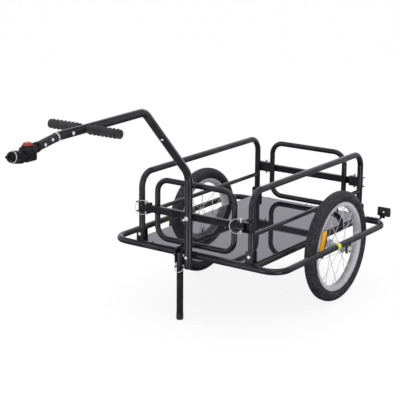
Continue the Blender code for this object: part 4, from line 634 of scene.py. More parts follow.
def makeSide(side, s):
    # a hoop of tube with two bends, a thinner straight rail between its posts, beads and two jaws
    x, h, body = s * foot["sideX"], hoop, side + "_side"
    front, rear = posts["front"], posts["rear"]
    corners = [(x, front, h["footZ"]), (x, front, h["top"]), (x, rear, h["top"]), (x, rear, h["footZ"])]
    bow = tube(corners, [h["bend"]] * 2, alongX, h["radius"], 36)
    makePiece(side + "Hoop", bow, body, "frameCoat", side + "_side_hoop")
    ends = [(x, front + h["reach"], h["railZ"]), (x, rear - h["reach"], h["railZ"])]
    makePiece(side + "SideRail", tube(ends, [], alongX, h["railR"], 28), body, "frameCoat", side + "_side_rail")
    beads = [weldBead((x, y, h["railZ"]), alongY, h["railR"] + h["beadOff"], h["bead"], 20)
             for y in (front + h["weldIn"], rear - h["weldIn"])]
    makePiece(side + "SideRailWelds", beads, body, "weldMetal")
    for end, es in endSigns.items():
        makeJaw(side, s, end, es)


def makeJaw(side, s, end, es):
    # web behind the rail's end, and an upper and a lower flange with the pin's slot
    j, y0 = jaw, posts[end]
    near, far, tip, cut, slotBack = j["near"], j["far"], j["tip"], j["slotCut"], j["slotBack"]
    back, outer = j["face"] - j["plate"], j["inner"] + j["plate"]
    flange = [(near, back), (far, back), (far, tip), (j["slotOut"], tip), (j["slotOut"], slotBack + cut),
              (j["slotOut"] - cut, slotBack), (j["slotIn"] + cut, slotBack), (j["slotIn"], slotBack + cut),
              (j["slotIn"], tip), (near, tip)]
    flange = [(s * x, y0 + es * y) for x, y in flange]
    shapes = [slab(flange, "z", j["z"] + k * j["inner"], j["z"] + k * outer) for k in (-1, 1)]
    web = (s * near, y0 + es * back, j["z"] - outer), (s * far, y0 + es * j["face"], j["z"] + outer)
    shapes.append(block(*web))
    makePiece(end + side.title() + "Jaw", shapes, side + "_side", "pressedPlate", bevel=0.0006)


for side, s in sideSigns.items():
    makeSide(side, s)
print("side hoops done")


# gates and ring pins

gate = dict(half=0.159, low=0.262, top=0.470, radius=0.00975, corner=0.045, railZ=0.366, railTall=0.025,
            railDeep=0.015, railHalf=0.210, railOff=0.01755, railRound=0.0022, plugIn=0.0012, weldOff=0.0098)


def gateBar(k, near, far, y, inset, radius):
    # the rail's rounded section, moved in by inset, carried along X from near to far
    halfY, halfZ = gate["railDeep"] / 2 - inset, gate["railTall"] / 2 - inset
    places = np.array([[k * near, y, gate["railZ"]], [k * far, y, gate["railZ"]]])
    return carried(places, np.array([[1.0, 0, 0]] * 2), alongY, roundedBox(halfY, halfZ, radius))


def makeGate(end, es):
    # a closed loop of tube with four bends; its rail is a rounded rectangle carried along X, and the beads
    # between them thin out like the root of 1 - u^2
    g, y0, body = gate, posts[end], end + "_gate"
    half, low, top, railHalf = g["half"], g["low"], g["top"], g["railHalf"]
    loop = [(-half, y0, low), (half, y0, low), (half, y0, top), (-half, y0, top)]
    loop = tube(loop, [g["corner"]] * 4, alongY, g["radius"], closed=True)
    makePiece(end + "GateLoop", loop, body, "gateCoat", end + "_gate_loop")
    y = y0 + es * g["railOff"]
    rail = gateBar(1, -railHalf, railHalf, y, 0, g["railRound"])
    makePiece(end + "GateRail", rail, body, "gateCoat", end + "_gate_rail")
    plugs = [gateBar(k, railHalf - 0.002, railHalf + 0.0016, y, g["plugIn"], 0.002) for k in (-1, 1)]
    makePiece(end + "RailPlugs", plugs, body, "couplerPlastic", slot=None, bevel=0.0006)
    u = np.linspace(-0.006, 0.006, 18)
    fat = rippled(u, 0.0014, 0.15) * np.sqrt(np.clip(1 - (u / 0.0062) ** 2, 0.02, 1))
    beads = [straightBead((x, y0 + es * g["weldOff"], g["railZ"] + k * g["railTall"] / 2), u, fat)
             for x in (-half, half) for k in (-1, 1)]
    makePiece(end + "GateWelds", beads, body, "weldMetal")


ringPins = dict(radius=0.004, half=0.0265, headR=0.0050, head=0.003, ringR=0.0250, eye=0.0215, wire=0.0011,
                front=math.radians(55), rear=math.radians(35))


def wireRing(middle, toward, across, radius, eye, pinR, wire):
    # an arc of wire about a centre off the pin, from one end of the pin to the other
    toward, across = unit(toward), unit(across)
    offset = math.sqrt(radius ** 2 - eye ** 2)
    half = math.pi - math.atan2(eye, offset)
    a, t = np.linspace(-half, half, 61)[:, None], roundAngles(12)
    places = np.asarray(middle) + toward * offset + radius * (toward * np.cos(a) + across * np.sin(a))
    places[[0, -1]] += toward * pinR * 0.5
    ways = -toward * np.sin(a) + across * np.cos(a)
    return carried(places, ways, np.cross(toward, across), wire * np.stack([np.cos(t), np.sin(t)], -1))


def makeRingPin(end, es, side, s):
    # a pin with a chamfered foot and a turned head, and its ring of wire
    p, half, r, headR = ringPins, ringPins["half"], ringPins["radius"], ringPins["headR"]
    neck = half - p["head"]
    middle = np.array([s * jaw["pinX"], posts[end] + es * gate["railOff"], gate["railZ"]])
    profile = [(-half, 0), (-half, r * 0.55), (-half + 0.0012, r * 0.9), (-half + 0.0026, r), (neck - 0.0003, r),
               (neck, headR * 0.95), (neck + 0.0006, headR), (half - 0.0008, headR), (half, headR * 0.8), (half, 0)]
    toward = (-math.sin(p[end]), es * math.cos(p[end]), 0)
    ring = wireRing(middle, toward, alongZ, p["ringR"], p["eye"], r, p["wire"])
    name = end + "_" + side
    shapes = [turned(profile, middle, alongZ), ring]
    makePiece(end + side.title() + "RingPin", shapes, name + "_pin", "wireSteel", name + "_ring_pin")


for end, es in endSigns.items():
    makeGate(end, es)
    for side, s in sideSigns.items():
        makeRingPin(end, es, side, s)
print("gates done")


# tow arm, handle and grips: lengths in pairs are (forward of the axle, up)

arm = dict(radius=0.0135, y=-0.49685, footZ=0.188, kneeZ=0.516, shoulder=(0.735, 0.762), neck=(1.138, 0.753),
           tip=(1.2405, 0.7349), bends=(0.080, 0.050, 0.090), bandY=1.146, slantScrew=0.38,
           slantTurn=math.radians(30), screwR=0.0046,  # the other screws: forward, rise, radius
           screws=((1.085, 0.0, 0.0056), (1.174, 0.0035, 0.0046), (1.205, 0.0, 0.0046)),
           railBolt=dict(radius=0.0060, length=0.0509), railNut=0.0429, washer=(0.003, 0.0075, 0.0008),
           footBolt=dict(radius=0.0056, length=0.0579), footNutBore=0.0034)
handle = dict(y=1.020, radius=0.0095, half=0.134, weldX=0.0128, beadOff=0.0004, bead=0.0016, gripR=0.0133,
              inner=0.017, end=0.138, flare=(0.0008, 0.02, 0.02), swell=(0.0006, 0.965, 0.03),  # high, place, half
              tip=(0.955, 0.0452, 2.6), knob=0.0022, rows=8, around=5, rise=0.12, power=0.85, bare=(0.03, 0.94))
armShoulder, armNeck, armTip = (np.array([0, -arm[key][0], arm[key][1]]) for key in ("shoulder", "neck", "tip"))
armSlope = unit(armTip - armNeck)


def armHeight(y):
    # height of the arm's middle line: straight from shoulder to neck, then straight to the tip
    start, stop = (arm["shoulder"], arm["neck"]) if y < arm["neck"][0] else (arm["neck"], arm["tip"])
    return start[1] + (y - start[0]) / (stop[0] - start[0]) * (stop[1] - start[1])


def gripSurface(s, z):
    # radius over length t and angle a: a bell exp(-t^2) near each end, a tip that closes like the root of
    # 1 - t^power, and knobs where cos(rows * turn * t) * cos(around * a) is high
    h, rows, cols = handle, 168, 100
    t, a = np.linspace(0, 1, rows), roundAngles(cols)
    shape = h["gripR"] + sum(high * np.exp(-((t - at) / half) ** 2) for high, at, half in (h["flare"], h["swell"]))
    start, span, power = h["tip"]
    shape *= np.sqrt(np.clip(1 - np.clip((t - start) / span, 0, 1) ** power, 0, 1))
    wave = np.cos(2 * np.pi * h["rows"] * t)[:, None] * np.cos(h["around"] * a)
    knobs = np.clip(wave + h["rise"], 0, 1 + h["rise"]) ** h["power"]
    low, high = h["bare"]
    fade = np.clip((t - low) / low, 0, 1) * np.clip((high - t) / low, 0, 1)
    bore, lip = np.full((1, cols), h["radius"] + 0.0003), np.full((1, cols), h["gripR"] - 0.0006)
    r = np.concatenate([bore, lip, shape[:, None] + h["knob"] * knobs * fade[:, None]])
    x = np.concatenate([[h["inner"] + 0.004, h["inner"]], h["inner"] + t * (h["end"] - h["inner"])])
    return grid(triples(s * x[:, None], -h["y"] + r * np.cos(a), z + r * np.sin(a)), caps=True)


def makeArm():
    # a tube through foot, knee, shoulder, neck and tip with three bends, then its plug, handle, grips, band,
    # screws and bolts, most of them profiles turned round their own axis
    a, h, gateBody = arm, handle, "front_gate"
    knee, footEnd = np.array([0, a["y"], a["kneeZ"]]), np.array([0, a["y"], a["footZ"]])
    pipe = tube([footEnd, knee, armShoulder, armNeck, armTip], a["bends"], alongX, a["radius"], 44)
    # litArmCoat is lighter than the frame's coat: painted highlight
    makePiece("towArm", pipe, gateBody, "litArmCoat", "tow_arm")
    plug = [(0.002, 0), (0.002, 0.0090), (0.0, 0.0100), (0.0, 0.0116), (0.004, 0.0119), (0.012, 0.0119),
            (0.012, 0)]
    plug = turned(plug, footEnd - np.array([0, 0, 0.0004]), alongZ, 32)
    makePiece("armFootPlug", plug, gateBody, "couplerPlastic")
    y, z = -h["y"], armHeight(h["y"])
    bar = tube([(-h["half"], y, z), (h["half"], y, z)], [], alongZ, h["radius"], 28)
    makePiece("handleBar", bar, gateBody, "litArmCoat")
    beads = [weldBead((k * h["weldX"], y, z), alongX, h["radius"] + h["beadOff"], h["bead"], 22) for k in (-1, 1)]
    makePiece("handleWelds", beads, gateBody, "weldMetal")
    for side, s in sideSigns.items():
        makePiece(side + "Grip", gripSurface(s, z), gateBody, "gripRubber", side + "_handle_grip", angle=60)
    ring = [(-0.0026, 0.0130), (-0.0026, 0.0144), (-0.0020, 0.0149), (0.0020, 0.0149), (0.0026, 0.0144),
            (0.0026, 0.0130)]
    ring = turned(ring, (0, -a["bandY"], armHeight(a["bandY"])), armSlope, 44, ring=True)
    makePiece("armBand", ring, gateBody, "clipSteel")
    screws = []
    for y, rise, r in a["screws"]:
        x = math.sqrt(a["radius"] ** 2 - rise ** 2) - 0.0003
        screws.append(crossScrew((x, -y, armHeight(y) + rise), (-1, 0, 0), r))
    upper = unit(np.cross(knee - armShoulder, alongX))
    outward = upper * math.cos(a["slantTurn"]) + np.array([math.sin(a["slantTurn"]), 0, 0])
    spot = armShoulder + (knee - armShoulder) * a["slantScrew"] + outward * (a["radius"] - 0.0002)
    screws.append(crossScrew(spot, -outward, a["screwR"]))
    makePiece("armScrews", screws, gateBody, "zincBolt")
    front = a["y"] - a["radius"] - play
    seat = np.array([0, front, gate["railZ"]])
    rail = [domeBolt(seat, alongY, **a["railBolt"]), washer(seat, alongY, *a["washer"])]
    rail += hexNut(seat + np.array([0, a["railNut"], 0]), alongY)
    makePiece("armRailBolt", rail, gateBody, "zincBolt", "tow_arm_rail_bolt")
    bolt = domeBolt((0, front, base["height"]), alongY, **a["footBolt"])
    makePiece("armFootBolt", bolt, gateBody, "zincBolt", "tow_arm_foot_bolt")
    nut = hexNut((0, -base["front"] + base["radius"] + play, base["height"]), alongY, bore=a["footNutBore"])
    makePiece("armFootNut", nut, "frame", "zincBolt", "tow_arm_foot_nut")


makeArm()
print("tow arm and handle done")


# coupler

coupler = dict(back=1.2440, front=1.2880, half=0.018, low=0.7045, topBack=0.7475, topFront=0.7435,
               tilt=math.radians(10), faceZ=0.7188, round=0.0045, buttonY=1.2655, buttonSkirt=0.7405,
               buttonHalfX=0.0108, buttonHalfY=0.0128, buttonRound=0.0063, screwR=0.0030,
               screws=((1.2510, 0.7115), (1.2775, 0.7110)), ribs=4, ribY=1.2540, ribStep=0.0062, ribHalf=0.0011,
               ribLow=0.7175, ribTop=0.7360, ribOut=(-0.0008, 0.0009))
hitchAxis = np.array([0, -math.cos(coupler["tilt"]), math.sin(coupler["tilt"])])
hitchFace = np.array([0, -coupler["front"], coupler["faceZ"]])


def makeHousing():
    # rounded rectangles carried from the back face to the front one, which leans with the hitch
    c, body, black = coupler, "front_gate", "couplerPlastic"
    levels = [(0, None), (0, 0.0040), (0.02, 0.0018), (0.06, 0.0005), (0.12, 0), (0.5, 0), (0.88, 0),
              (0.94, 0.0005), (0.98, 0.0018), (1, 0.0040), (1, None)]
    rows = []
    for share, inset in levels:
        top = c["topBack"] + (c["topFront"] - c["topBack"]) * share
        ring = insetBox(c["half"], (top - c["low"]) / 2, c["round"], inset, 5)
        z = (top + c["low"]) / 2 + ring[:, 1]
        y = -c["back"] - (c["front"] - c["back"]) * share + (z - c["faceZ"]) * math.tan(c["tilt"]) * share
        rows.append(triples(ring[:, 0], y, z))
    makePiece("couplerHousing", grid(rows), body, black, "coupler_housing", angle=50)
    cuff = [(-0.0165, 0.0137), (-0.0160, 0.0150), (-0.0120, 0.0158), (0.0, 0.0162), (0.0060, 0.0164),
            (0.0060, 0.0137)]
    makePiece("couplerCuff", turned(cuff, armTip, armSlope, 40, ring=True), body, black)
    spigot = [(-0.040, 0), (-0.040, 0.0112), (0.004, 0.0112), (0.004, 0)]
    makePiece("couplerSpigot", turned(spigot, armTip, armSlope), body, black)
    outer = roundedBox(c["buttonHalfX"] + 0.0028, c["buttonHalfY"] + 0.0022, 0.0075, 6)
    inner = roundedBox(c["buttonHalfX"] + 0.0006, c["buttonHalfY"] + 0.0006, 0.0066, 6)
    rows = [triples(ring[:, 0], ring[:, 1] - c["buttonY"], z) for ring, z in (
        (outer, 0.7430), (outer, 0.7483), (outer * 0.985, 0.7491), (inner * 1.02, 0.7491), (inner, 0.7485),
        (inner, 0.7430))]
    makePiece("buttonRim", grid(rows, wrapRows=True), body, black)
    screws = [crossScrew((s * (c["half"] + 0.0001), -y, z), (-s, 0, 0), c["screwR"])
              for s in (1, -1) for y, z in c["screws"]]
    makePiece("housingScrews", screws, body, "pressedPlate", slot="black_plastic")
    ribs = []
    for s in (1, -1):
        for k in range(c["ribs"]):
            y = -c["ribY"] - k * c["ribStep"]
            near, far = (s * (c["half"] + out) for out in c["ribOut"])
            ribs.append(block((near, y - c["ribHalf"], c["ribLow"]), (far, y + c["ribHalf"], c["ribTop"])))
    makePiece("housingRibs", ribs, body, black, bevel=0.0004)


def makeButton():
    # cushion-topped key: rounded rectangles shrink towards a gently crowned top with a thumb dish
    c, skirt = coupler, coupler["buttonSkirt"] + 0.0002
    levels = [(skirt, None), (skirt, 0), (0.7515, 0), (0.7540, 0.0006), (0.7560, 0.0020), (0.7571, 0.0042),
              (0.7572, 0.0062), (0.7568, 0.0085), (0.7566, None)]
    rows = []
    for z, inset in levels:
        radius = max(c["buttonRound"] - (inset or 0) * 0.7, 0.0015)
        ring = insetBox(c["buttonHalfX"], c["buttonHalfY"], radius, inset)
        rows.append(triples(ring[:, 0], ring[:, 1] - c["buttonY"], z))
    makePiece("releaseKey", grid(rows), "button", "buttonRed", "release_button", angle=50)


hitch = dict(stubR=0.0186, stubEnd=0.0376, core=0.006, flutes=12, fluteDeep=0.0014, fluteFrom=0.35,
             fluteEnds=(0.0055, 0.0325), fluteFade=0.003, collar=(0.0382, 0.0412), collarR=0.0172,
             noseBack=0.0418, noseLength=0.0104, mouth=0.0076, flare=0.0066, noseR=0.0163, throat=0.0052,
             ballAt=0.0478, ballR=0.0055, studR=0.0030, knobR=0.0045, tip=0.0665)


def makeHitch():
    # fluted stub (its radius falls where cos(flutes * angle) is high), bright collar, domed nose (a quarter
    # ellipse) and the ball stud in its mouth; all lengths run along hitchAxis
    h, black, sides = hitch, "couplerPlastic", 144
    along = np.array([0.0008, 0.0012, 0.0030, 0.0055, 0.0085, 0.013, 0.018, 0.024, 0.0300, 0.0325, 0.0345, 0.0366,
                      h["stubEnd"]])
    fall = np.array([22, 10, 3, 1, 1, 0, 0, 0, 1, 1, 3, 10, 20]) * 0.0001
    a, start, (low, high) = roundAngles(sides), h["fluteFrom"], h["fluteEnds"]
    cut = h["fluteDeep"] * np.clip(np.cos(h["flutes"] * a) - start, 0, 1) / (1 - start)
    live = np.clip((along - low) / h["fluteFade"], 0, 1) * np.clip((high - along) / h["fluteFade"], 0, 1)
    core = np.full((1, sides), h["core"])
    r = np.concatenate([core, (h["stubR"] - fall)[:, None] - live[:, None] * cut, core])
    along = np.concatenate([[0.0006], along, [h["stubEnd"]]])
    ring = np.cos(a)[:, None] * np.array(alongX) + np.sin(a)[:, None] * np.cross(hitchAxis, alongX)
    body = grid(hitchFace + along[:, None, None] * hitchAxis + r[:, :, None] * ring, caps=True)
    shank = [(-0.030, 0), (-0.030, 0.0052), (-0.0292, 0.006), (-0.0236, 0.006), (-0.0230, 0.004), (-0.0170, 0.004),
             (-0.0164, 0.006), (0.0010, 0.006), (0.0010, 0)]
    low, high = h["stubEnd"] - 0.001, h["noseBack"] - 0.0003
    seat = [(low, 0), (low, 0.0149), (high, 0.0149), (high, 0)]
    shapes = [body, turned(shank, hitchFace, hitchAxis, 32), turned(seat, hitchFace, hitchAxis, 40)]
    makePiece("hitchStub", shapes, "hitch", black, "coupler_stub")
    low, high, r = *h["collar"], h["collarR"]
    ring = [(low, 0.0151), (low, r - 0.0005), (low + 0.0005, r), (high - 0.0005, r), (high, r - 0.0005),
            (high, 0.0151)]
    collar = turned(ring, hitchFace, hitchAxis, 56, ring=True)
    makePiece("hitchCollar", collar, "hitch", "clipSteel", "coupler_collar")
    q = np.linspace(0, np.pi / 2, 18)
    back, length, mouth = h["noseBack"], h["noseLength"], h["mouth"]
    nose = [(back, 0.0062)] + list(zip(back + length * np.sin(q), mouth + (h["noseR"] - mouth) * np.cos(q)))
    nose += [(back + length + 0.0003, mouth - 0.0007), (back + length, h["flare"]),
             (h["ballAt"] + 0.0042, h["throat"]), (h["ballAt"] + 0.0012, 0.0060)]
    nose = turned(nose, hitchFace, hitchAxis, 56, ring=True)
    makePiece("hitchNose", nose, "hitch", black, "coupler_nose")
    q = np.linspace(0, math.pi - math.asin(h["studR"] / h["ballR"]), 18)
    stud = list(zip(h["ballAt"] - h["ballR"] * np.cos(q), h["ballR"] * np.sin(q)))
    q = np.linspace(math.asin(h["studR"] / h["knobR"]), math.pi, 12)
    stud += list(zip(h["tip"] - h["knobR"] * (1 + np.cos(q)), h["knobR"] * np.sin(q) * (q < 3.14)))
    makePiece("hitchBall", turned(stud, hitchFace, hitchAxis, 32), "ball", black, "ball_stud")


makeHousing()
makeButton()
makeHitch()
print("coupler done")


# stand

stand = dict(x=-0.033, y=-0.499, radius=0.0115, half=0.0123, plate=0.0025, pivotZ=0.232, top=0.2515, low=0.186,
             nose=0.012, round=0.006, webBack=-0.4833, webFront=-0.4853, pinZ=0.196, slot=0.0045, pinR=0.003,
             ringR=0.0185, wire=0.0012, turn=math.radians(58), legLow=0.0045, legOver=0.006,
             bolt=dict(head=0.0027, length=0.0376))


def makeStand():
    # a bracket of a web and two cheeks whose slots open forward, the leg with its cap, bolt and ring pin
    p, x, y, r = stand, stand["x"], stand["y"], stand["round"]
    outer, nose, pinZ, slot = p["half"] + p["plate"], p["y"] - p["nose"], p["pinZ"], p["slot"]
    cheek = [(p["webBack"], p["low"]), (p["webBack"], p["top"])]
    cheek += [(nose + r * (1 - math.sin(t)), p["top"] - r * (1 - math.cos(t)))
              for t in np.linspace(0, np.pi / 2, 6)]
    cheek += [(nose, pinZ + slot + 0.0025), (y + 0.0015, pinZ + slot + 0.0025), (y + slot, pinZ + 0.003),
              (y + slot, pinZ - 0.002), (y + 0.002, pinZ - slot), (nose, pinZ - slot), (nose, p["low"] + 0.002),
              (nose + 0.002, p["low"])]
    shapes = [slab(cheek, "x", *sorted((x + k * p["half"], x + k * outer))) for k in (1, -1)]
    shapes.append(block((x - outer, p["webBack"], p["low"]), (x + outer, p["webFront"], p["top"])))
    makePiece("standBracket", shapes, "frame", "pressedPlate", "stand_bracket", bevel=0.0006)
    leg = tube([(x, y, p["legLow"]), (x, y, p["pivotZ"] + p["legOver"])], [], alongX, p["radius"])
    makePiece("standLeg", leg, "stand", "frameCoat", "stand_leg")
    cap = [(0, 0), (0, 0.0098), (0.0006, 0.0112), (0.002, 0.0122), (0.0040, 0.0124), (0.0044, 0.0119),
           (0.0052, 0.0119), (0.0056, 0.0124), (0.0225, 0.0124), (0.0235, 0.0121), (0.024, 0.0117),
           (0.004, 0.0116), (0.004, 0)]
    makePiece("standFootCap", turned(cap, (x, y, 0), alongZ, 36), "stand", "capRubber", "stand_foot_cap")
    face, inward = outer + play, np.array([-1, 0, 0])
    seat = np.array([x + face, y, p["pivotZ"]])
    bolt = [domeBolt(seat, inward, **p["bolt"])] + hexNut(seat + inward * 2 * face, inward)
    makePiece("standPivotBolt", bolt, "frame", "zincBolt", "stand_pivot_bolt")
    middle, half, r = np.array([x, y, pinZ]), outer + 0.003, p["pinR"]
    pin = [(-half, 0), (-half, 0.0022), (-half + 0.0008, r), (half - 0.0003, r), (half - 0.0003, 0.0038),
           (half + 0.001, 0.004), (half + 0.0015, 0.0034), (half + 0.0015, 0)]
    toward = (0, -math.cos(p["turn"]), -math.sin(p["turn"]))
    ring = wireRing(middle, toward, alongX, p["ringR"], outer + 0.0015, r, p["wire"])
    shapes = [turned(pin, middle, inward, 24), ring]
    makePiece("standRingPin", shapes, "stand_ring", "wireSteel", "stand_ring_pin")


makeStand()
print("stand done")


# wheels: x of a section is measured from the wheel's middle plane

wheel = dict(x=0.2915, z=0.200, rimR=0.1612, rimHalf=0.0145, lip=0.0015, rimDepth=0.0172, bed=0.0067, blocks=88,
             groove=0.0021, rowWidth=0.0068, treadR=(0.1865, 0.1905), slant=(2.4, 2.2), bar=(0.45, 0.35),
             line=0.10, ribs=240, ribHigh=0.00018, ribR=0.1745, ribHalf=0.003, valveZ=0.1245)
hub = dict(half=0.036, flangeX=0.0265, flange=0.0014, flangeR=0.0210, barrel=0.0115, end=0.0135, seat=0.0108)
spoke = dict(count=20, radius=0.0009, hubR=0.0185, twist=math.radians(52), layer=0.002, rimSides=24)


def tyreSurface(centre):
    # casing section turned round the axle; grooves are cut where sin(blocks * angle + slant * across) is
    # low and between the rows of blocks, and the side wall has fine ribs of sin(ribs * angle)
    w = wheel
    knots = np.array([[-0.0092, 0.1650], [-0.0124, 0.1548], [-0.0124, 0.1616], [-0.0150, 0.1640], [-0.0198, 0.1700],
                      [-0.0222, 0.1770], [-0.0221, 0.1828], [-0.0207, 0.1880], [-0.0180, 0.1927],
                      [-0.0138, 0.1968], [-0.0090, 0.1990], [-0.0045, 0.1997], [0, 0.2000]])
    both = np.concatenate([knots, knots[-2::-1] * np.array([-1, 1])])
    across = np.concatenate([[0], np.cumsum(np.linalg.norm(np.diff(both, axis=0), axis=1))])
    v, u = np.linspace(0, across[-1], 84), roundAngles(w["blocks"] * 8)[:, None]
    x, r = np.interp(v, across, both[:, 0]), np.interp(v, across, both[:, 1])
    low, high = w["treadR"]
    tread, row = np.clip((r - low) / (high - low), 0, 1), np.abs(x) / w["rowWidth"]
    bars = np.sin(w["blocks"] * u + w["slant"][0] * np.sin(row * w["slant"][1]) + np.pi * np.floor(row))
    cut = np.clip((bars + w["bar"][0]) / -w["bar"][1], 0, 1)
    near = np.round(row)  # the nearest line between two rows of blocks
    lines = np.clip(1 - np.abs(row - near) / w["line"], 0, 1) * (near > 0) * (near < 3)
    depth = w["groove"] * np.clip(np.maximum(cut, lines), 0, 1) * tread
    ribs = w["ribHigh"] * np.sin(w["ribs"] * u) * np.clip(1 - np.abs(r - w["ribR"]) / w["ribHalf"], 0, 1)
    reach = r - depth + ribs
    return grid(centre + triples(x, reach * np.sin(u), reach * np.cos(u)), wrapRows=True)


def makeWheel(side, s):
    # tyre, rim with a well and a brake face, hub shell with two flanges, spokes, reflector and valve
    w, body, axis = wheel, side + "_wheel", (s, 0, 0)
    centre = np.array([s * w["x"], 0, w["z"]])
    makePiece(side + "TyreCasing", tyreSurface(centre), body, "tyreRubber", side + "_tyre", angle=50)
    h, lip, e = w["rimHalf"], w["rimHalf"] - w["lip"], w["rimR"]
    rim = [(lip - 0.0006, w["bed"]), (lip, 0.0006), (lip + 0.0004, 0), (h - 0.0003, 0), (h, 0.0006), (h, 0.0020),
           (h - 0.0003, 0.0024), (h - 0.0003, 0.0088), (h, 0.0093), (h - 0.0002, 0.0110), (h - 0.0026, 0.0138),
           (h * 0.55, 0.0160), (h * 0.28, w["rimDepth"])]
    rim = turned(mirrored([(x, e - deep) for x, deep in rim]), centre, axis, 160, ring=True)
    makePiece(side + "RimHoop", rim, body, "rimAlloy", side + "_rim", angle=30)
    half, end, seat, flangeR = hub["half"], hub["end"], hub["seat"], hub["flangeR"]
    near, far, barrel = hub["flangeX"] - hub["flange"], hub["flangeX"] + hub["flange"], hub["barrel"]
    shell = [(half - 0.008, 0.0075), (half - 0.008, seat), (half - 0.0005, seat), (half, seat + 0.0004),
             (half, end - 0.0006), (half - 0.0006, end), (far + 0.001, end), (far, end + 0.001),
             (far, flangeR - 0.0005), (far - 0.0005, flangeR), (near + 0.0005, flangeR), (near, flangeR - 0.0005),
             (near, barrel + 0.003), (near - 0.0025, barrel + 0.0004), (hub["flangeX"] - 0.0075, barrel)]
    shell = turned(mirrored(shell), centre, axis, 44, ring=True)
    makePiece(side + "HubShell", shell, body, "hubAlloy", side + "_spoked_hub")
    makeSpokes(side, s, centre, body)
    makeSpokeReflector(side, s, centre, body)
    valve = [(0.0, 0), (0.0, 0.0022), (0.0006, 0.0028), (0.0060, 0.0028), (0.0064, 0.0034), (0.0120, 0.0034),
             (0.0126, 0.0028), (0.030, 0.0028), (0.030, 0)]
    valve = turned(valve, centre + np.array([0, 0, w["valveZ"]]), alongZ, 20)
    makePiece(side + "Valve", valve, body, "tubeRubber")


def makeSpokes(side, s, centre, body):
    # straight wires from a hub flange to the rim, alternate ones leaning either way, each with a head at
    # the flange and a nipple at the rim
    p, wires, nipples = spoke, [], []
    rimR = (wheel["rimR"] - wheel["rimDepth"]) * math.cos(math.pi / p["rimSides"])
    for k in range(p["count"]):
        flange, lean = 1 if k % 2 == 0 else -1, 1 if (k // 2) % 2 == 0 else -1
        a = 2 * math.pi * (k + 0.5) / p["count"]
        b = a + lean * p["twist"]
        hubX, rimX = hub["flangeX"] + lean * p["layer"] * 0.8, (2 + lean) * p["layer"]
        start = centre + np.array([s * flange * hubX, p["hubR"] * math.sin(b), p["hubR"] * math.cos(b)])
        stop = centre + np.array([s * flange * rimX, rimR * math.sin(a), rimR * math.cos(a)])
        length, r = np.linalg.norm(stop - start), p["radius"]
        wire = [(-0.0012, 0), (-0.0012, 0.0014), (-0.0004, 0.0016), (0.0004, 0.0010), (0.002, r), (length, r),
                (length, 0)]
        nipple = [(-0.0125, 0.0011), (-0.0120, 0.0017), (-0.0020, 0.0018), (-0.0012, 0.0024), (0.0006, 0.0024),
                  (0.0006, 0)]
        wires.append(turned(wire, start, stop - start, 10))
        nipples.append(turned(nipple, stop, stop - start, 8))
    makePiece(side + "SpokeWires", wires, body, "spokeSteel")
    makePiece(side + "SpokeNipples", nipples, body, "zincBolt")


reflector = dict(length=0.094, width=0.032, thick=0.006, atR=0.134, x=0.0150, turn=math.radians(-17.5),
                 lens=0.0262, shell=0.0034, rim=0.0028, clips=(-0.026, 0.026))


def makeSpokeReflector(side, s, centre, body):
    # a lens pillow on the outer part of a dark shell, turned round the axle to its place between the spokes
    p, t = reflector, reflector["turn"]

    def placed(ring, x, shift=(0, 0)):
        # ring points moved out from the axle and turned about it by t
        a, b = ring[:, 0] + shift[0] - p["atR"], ring[:, 1] + shift[1]
        y, z = a * math.cos(t) - b * math.sin(t), a * math.sin(t) + b * math.cos(t)
        return triples(s * (wheel["x"] + x), centre[1] + y, centre[2] + z)

    halfA, halfB, low, high = p["width"] / 2, p["length"] / 2, p["x"], p["x"] + p["thick"]
    levels = [(low, None), (low, 0.0012), (low + 0.0006, 0.0004), (low + 0.0012, 0), (high - 0.0018, 0),
              (high - 0.0007, 0.0005), (high - 0.0002, 0.0016), (high, 0.0032), (high, None)]
    outward = ((p["lens"] - p["width"]) / 2, 0)
    rows = [placed(insetBox(p["lens"] / 2, halfB, 0.0065 - (inset or 0) * 0.6, inset), x, outward)
            for x, inset in levels]
    name = side + "_spoke_reflector"
    makePiece(side + "SpokeReflectorLens", grid(rows), body, "amberLens", name, angle=50)
    levels = [(low - 0.0022, 0.0006), (low - 0.0018, 0), (high - 0.0014, 0), (high - 0.0008, 0.0006)]
    rows = [placed(insetBox(halfA, halfB + p["rim"], 0.0080, inset), x, (p["shell"], 0))
            for x, inset in levels]
    shell = [grid(rows, caps=True)]
    clip = roundedBox(0.0065, 0.0045, 0.0015, 3)
    shell += [grid([placed(clip, low - 0.0042, (0, b)), placed(clip, low - 0.0020, (0, b))], caps=True)
              for b in p["clips"]]
    makePiece(side + "ReflectorShell", shell, body, "amberShell", bevel=0.0004)


axle = dict(radius=0.005, nutR=0.0095, nut=0.006, nutBore=0.0049, washer=0.0108, washerThick=0.001,
            spacer=0.00775, spacerIn=0.0363, inSlot=0.0043, thread=0.0083, toothRoot=0.0047, pitch=0.001)


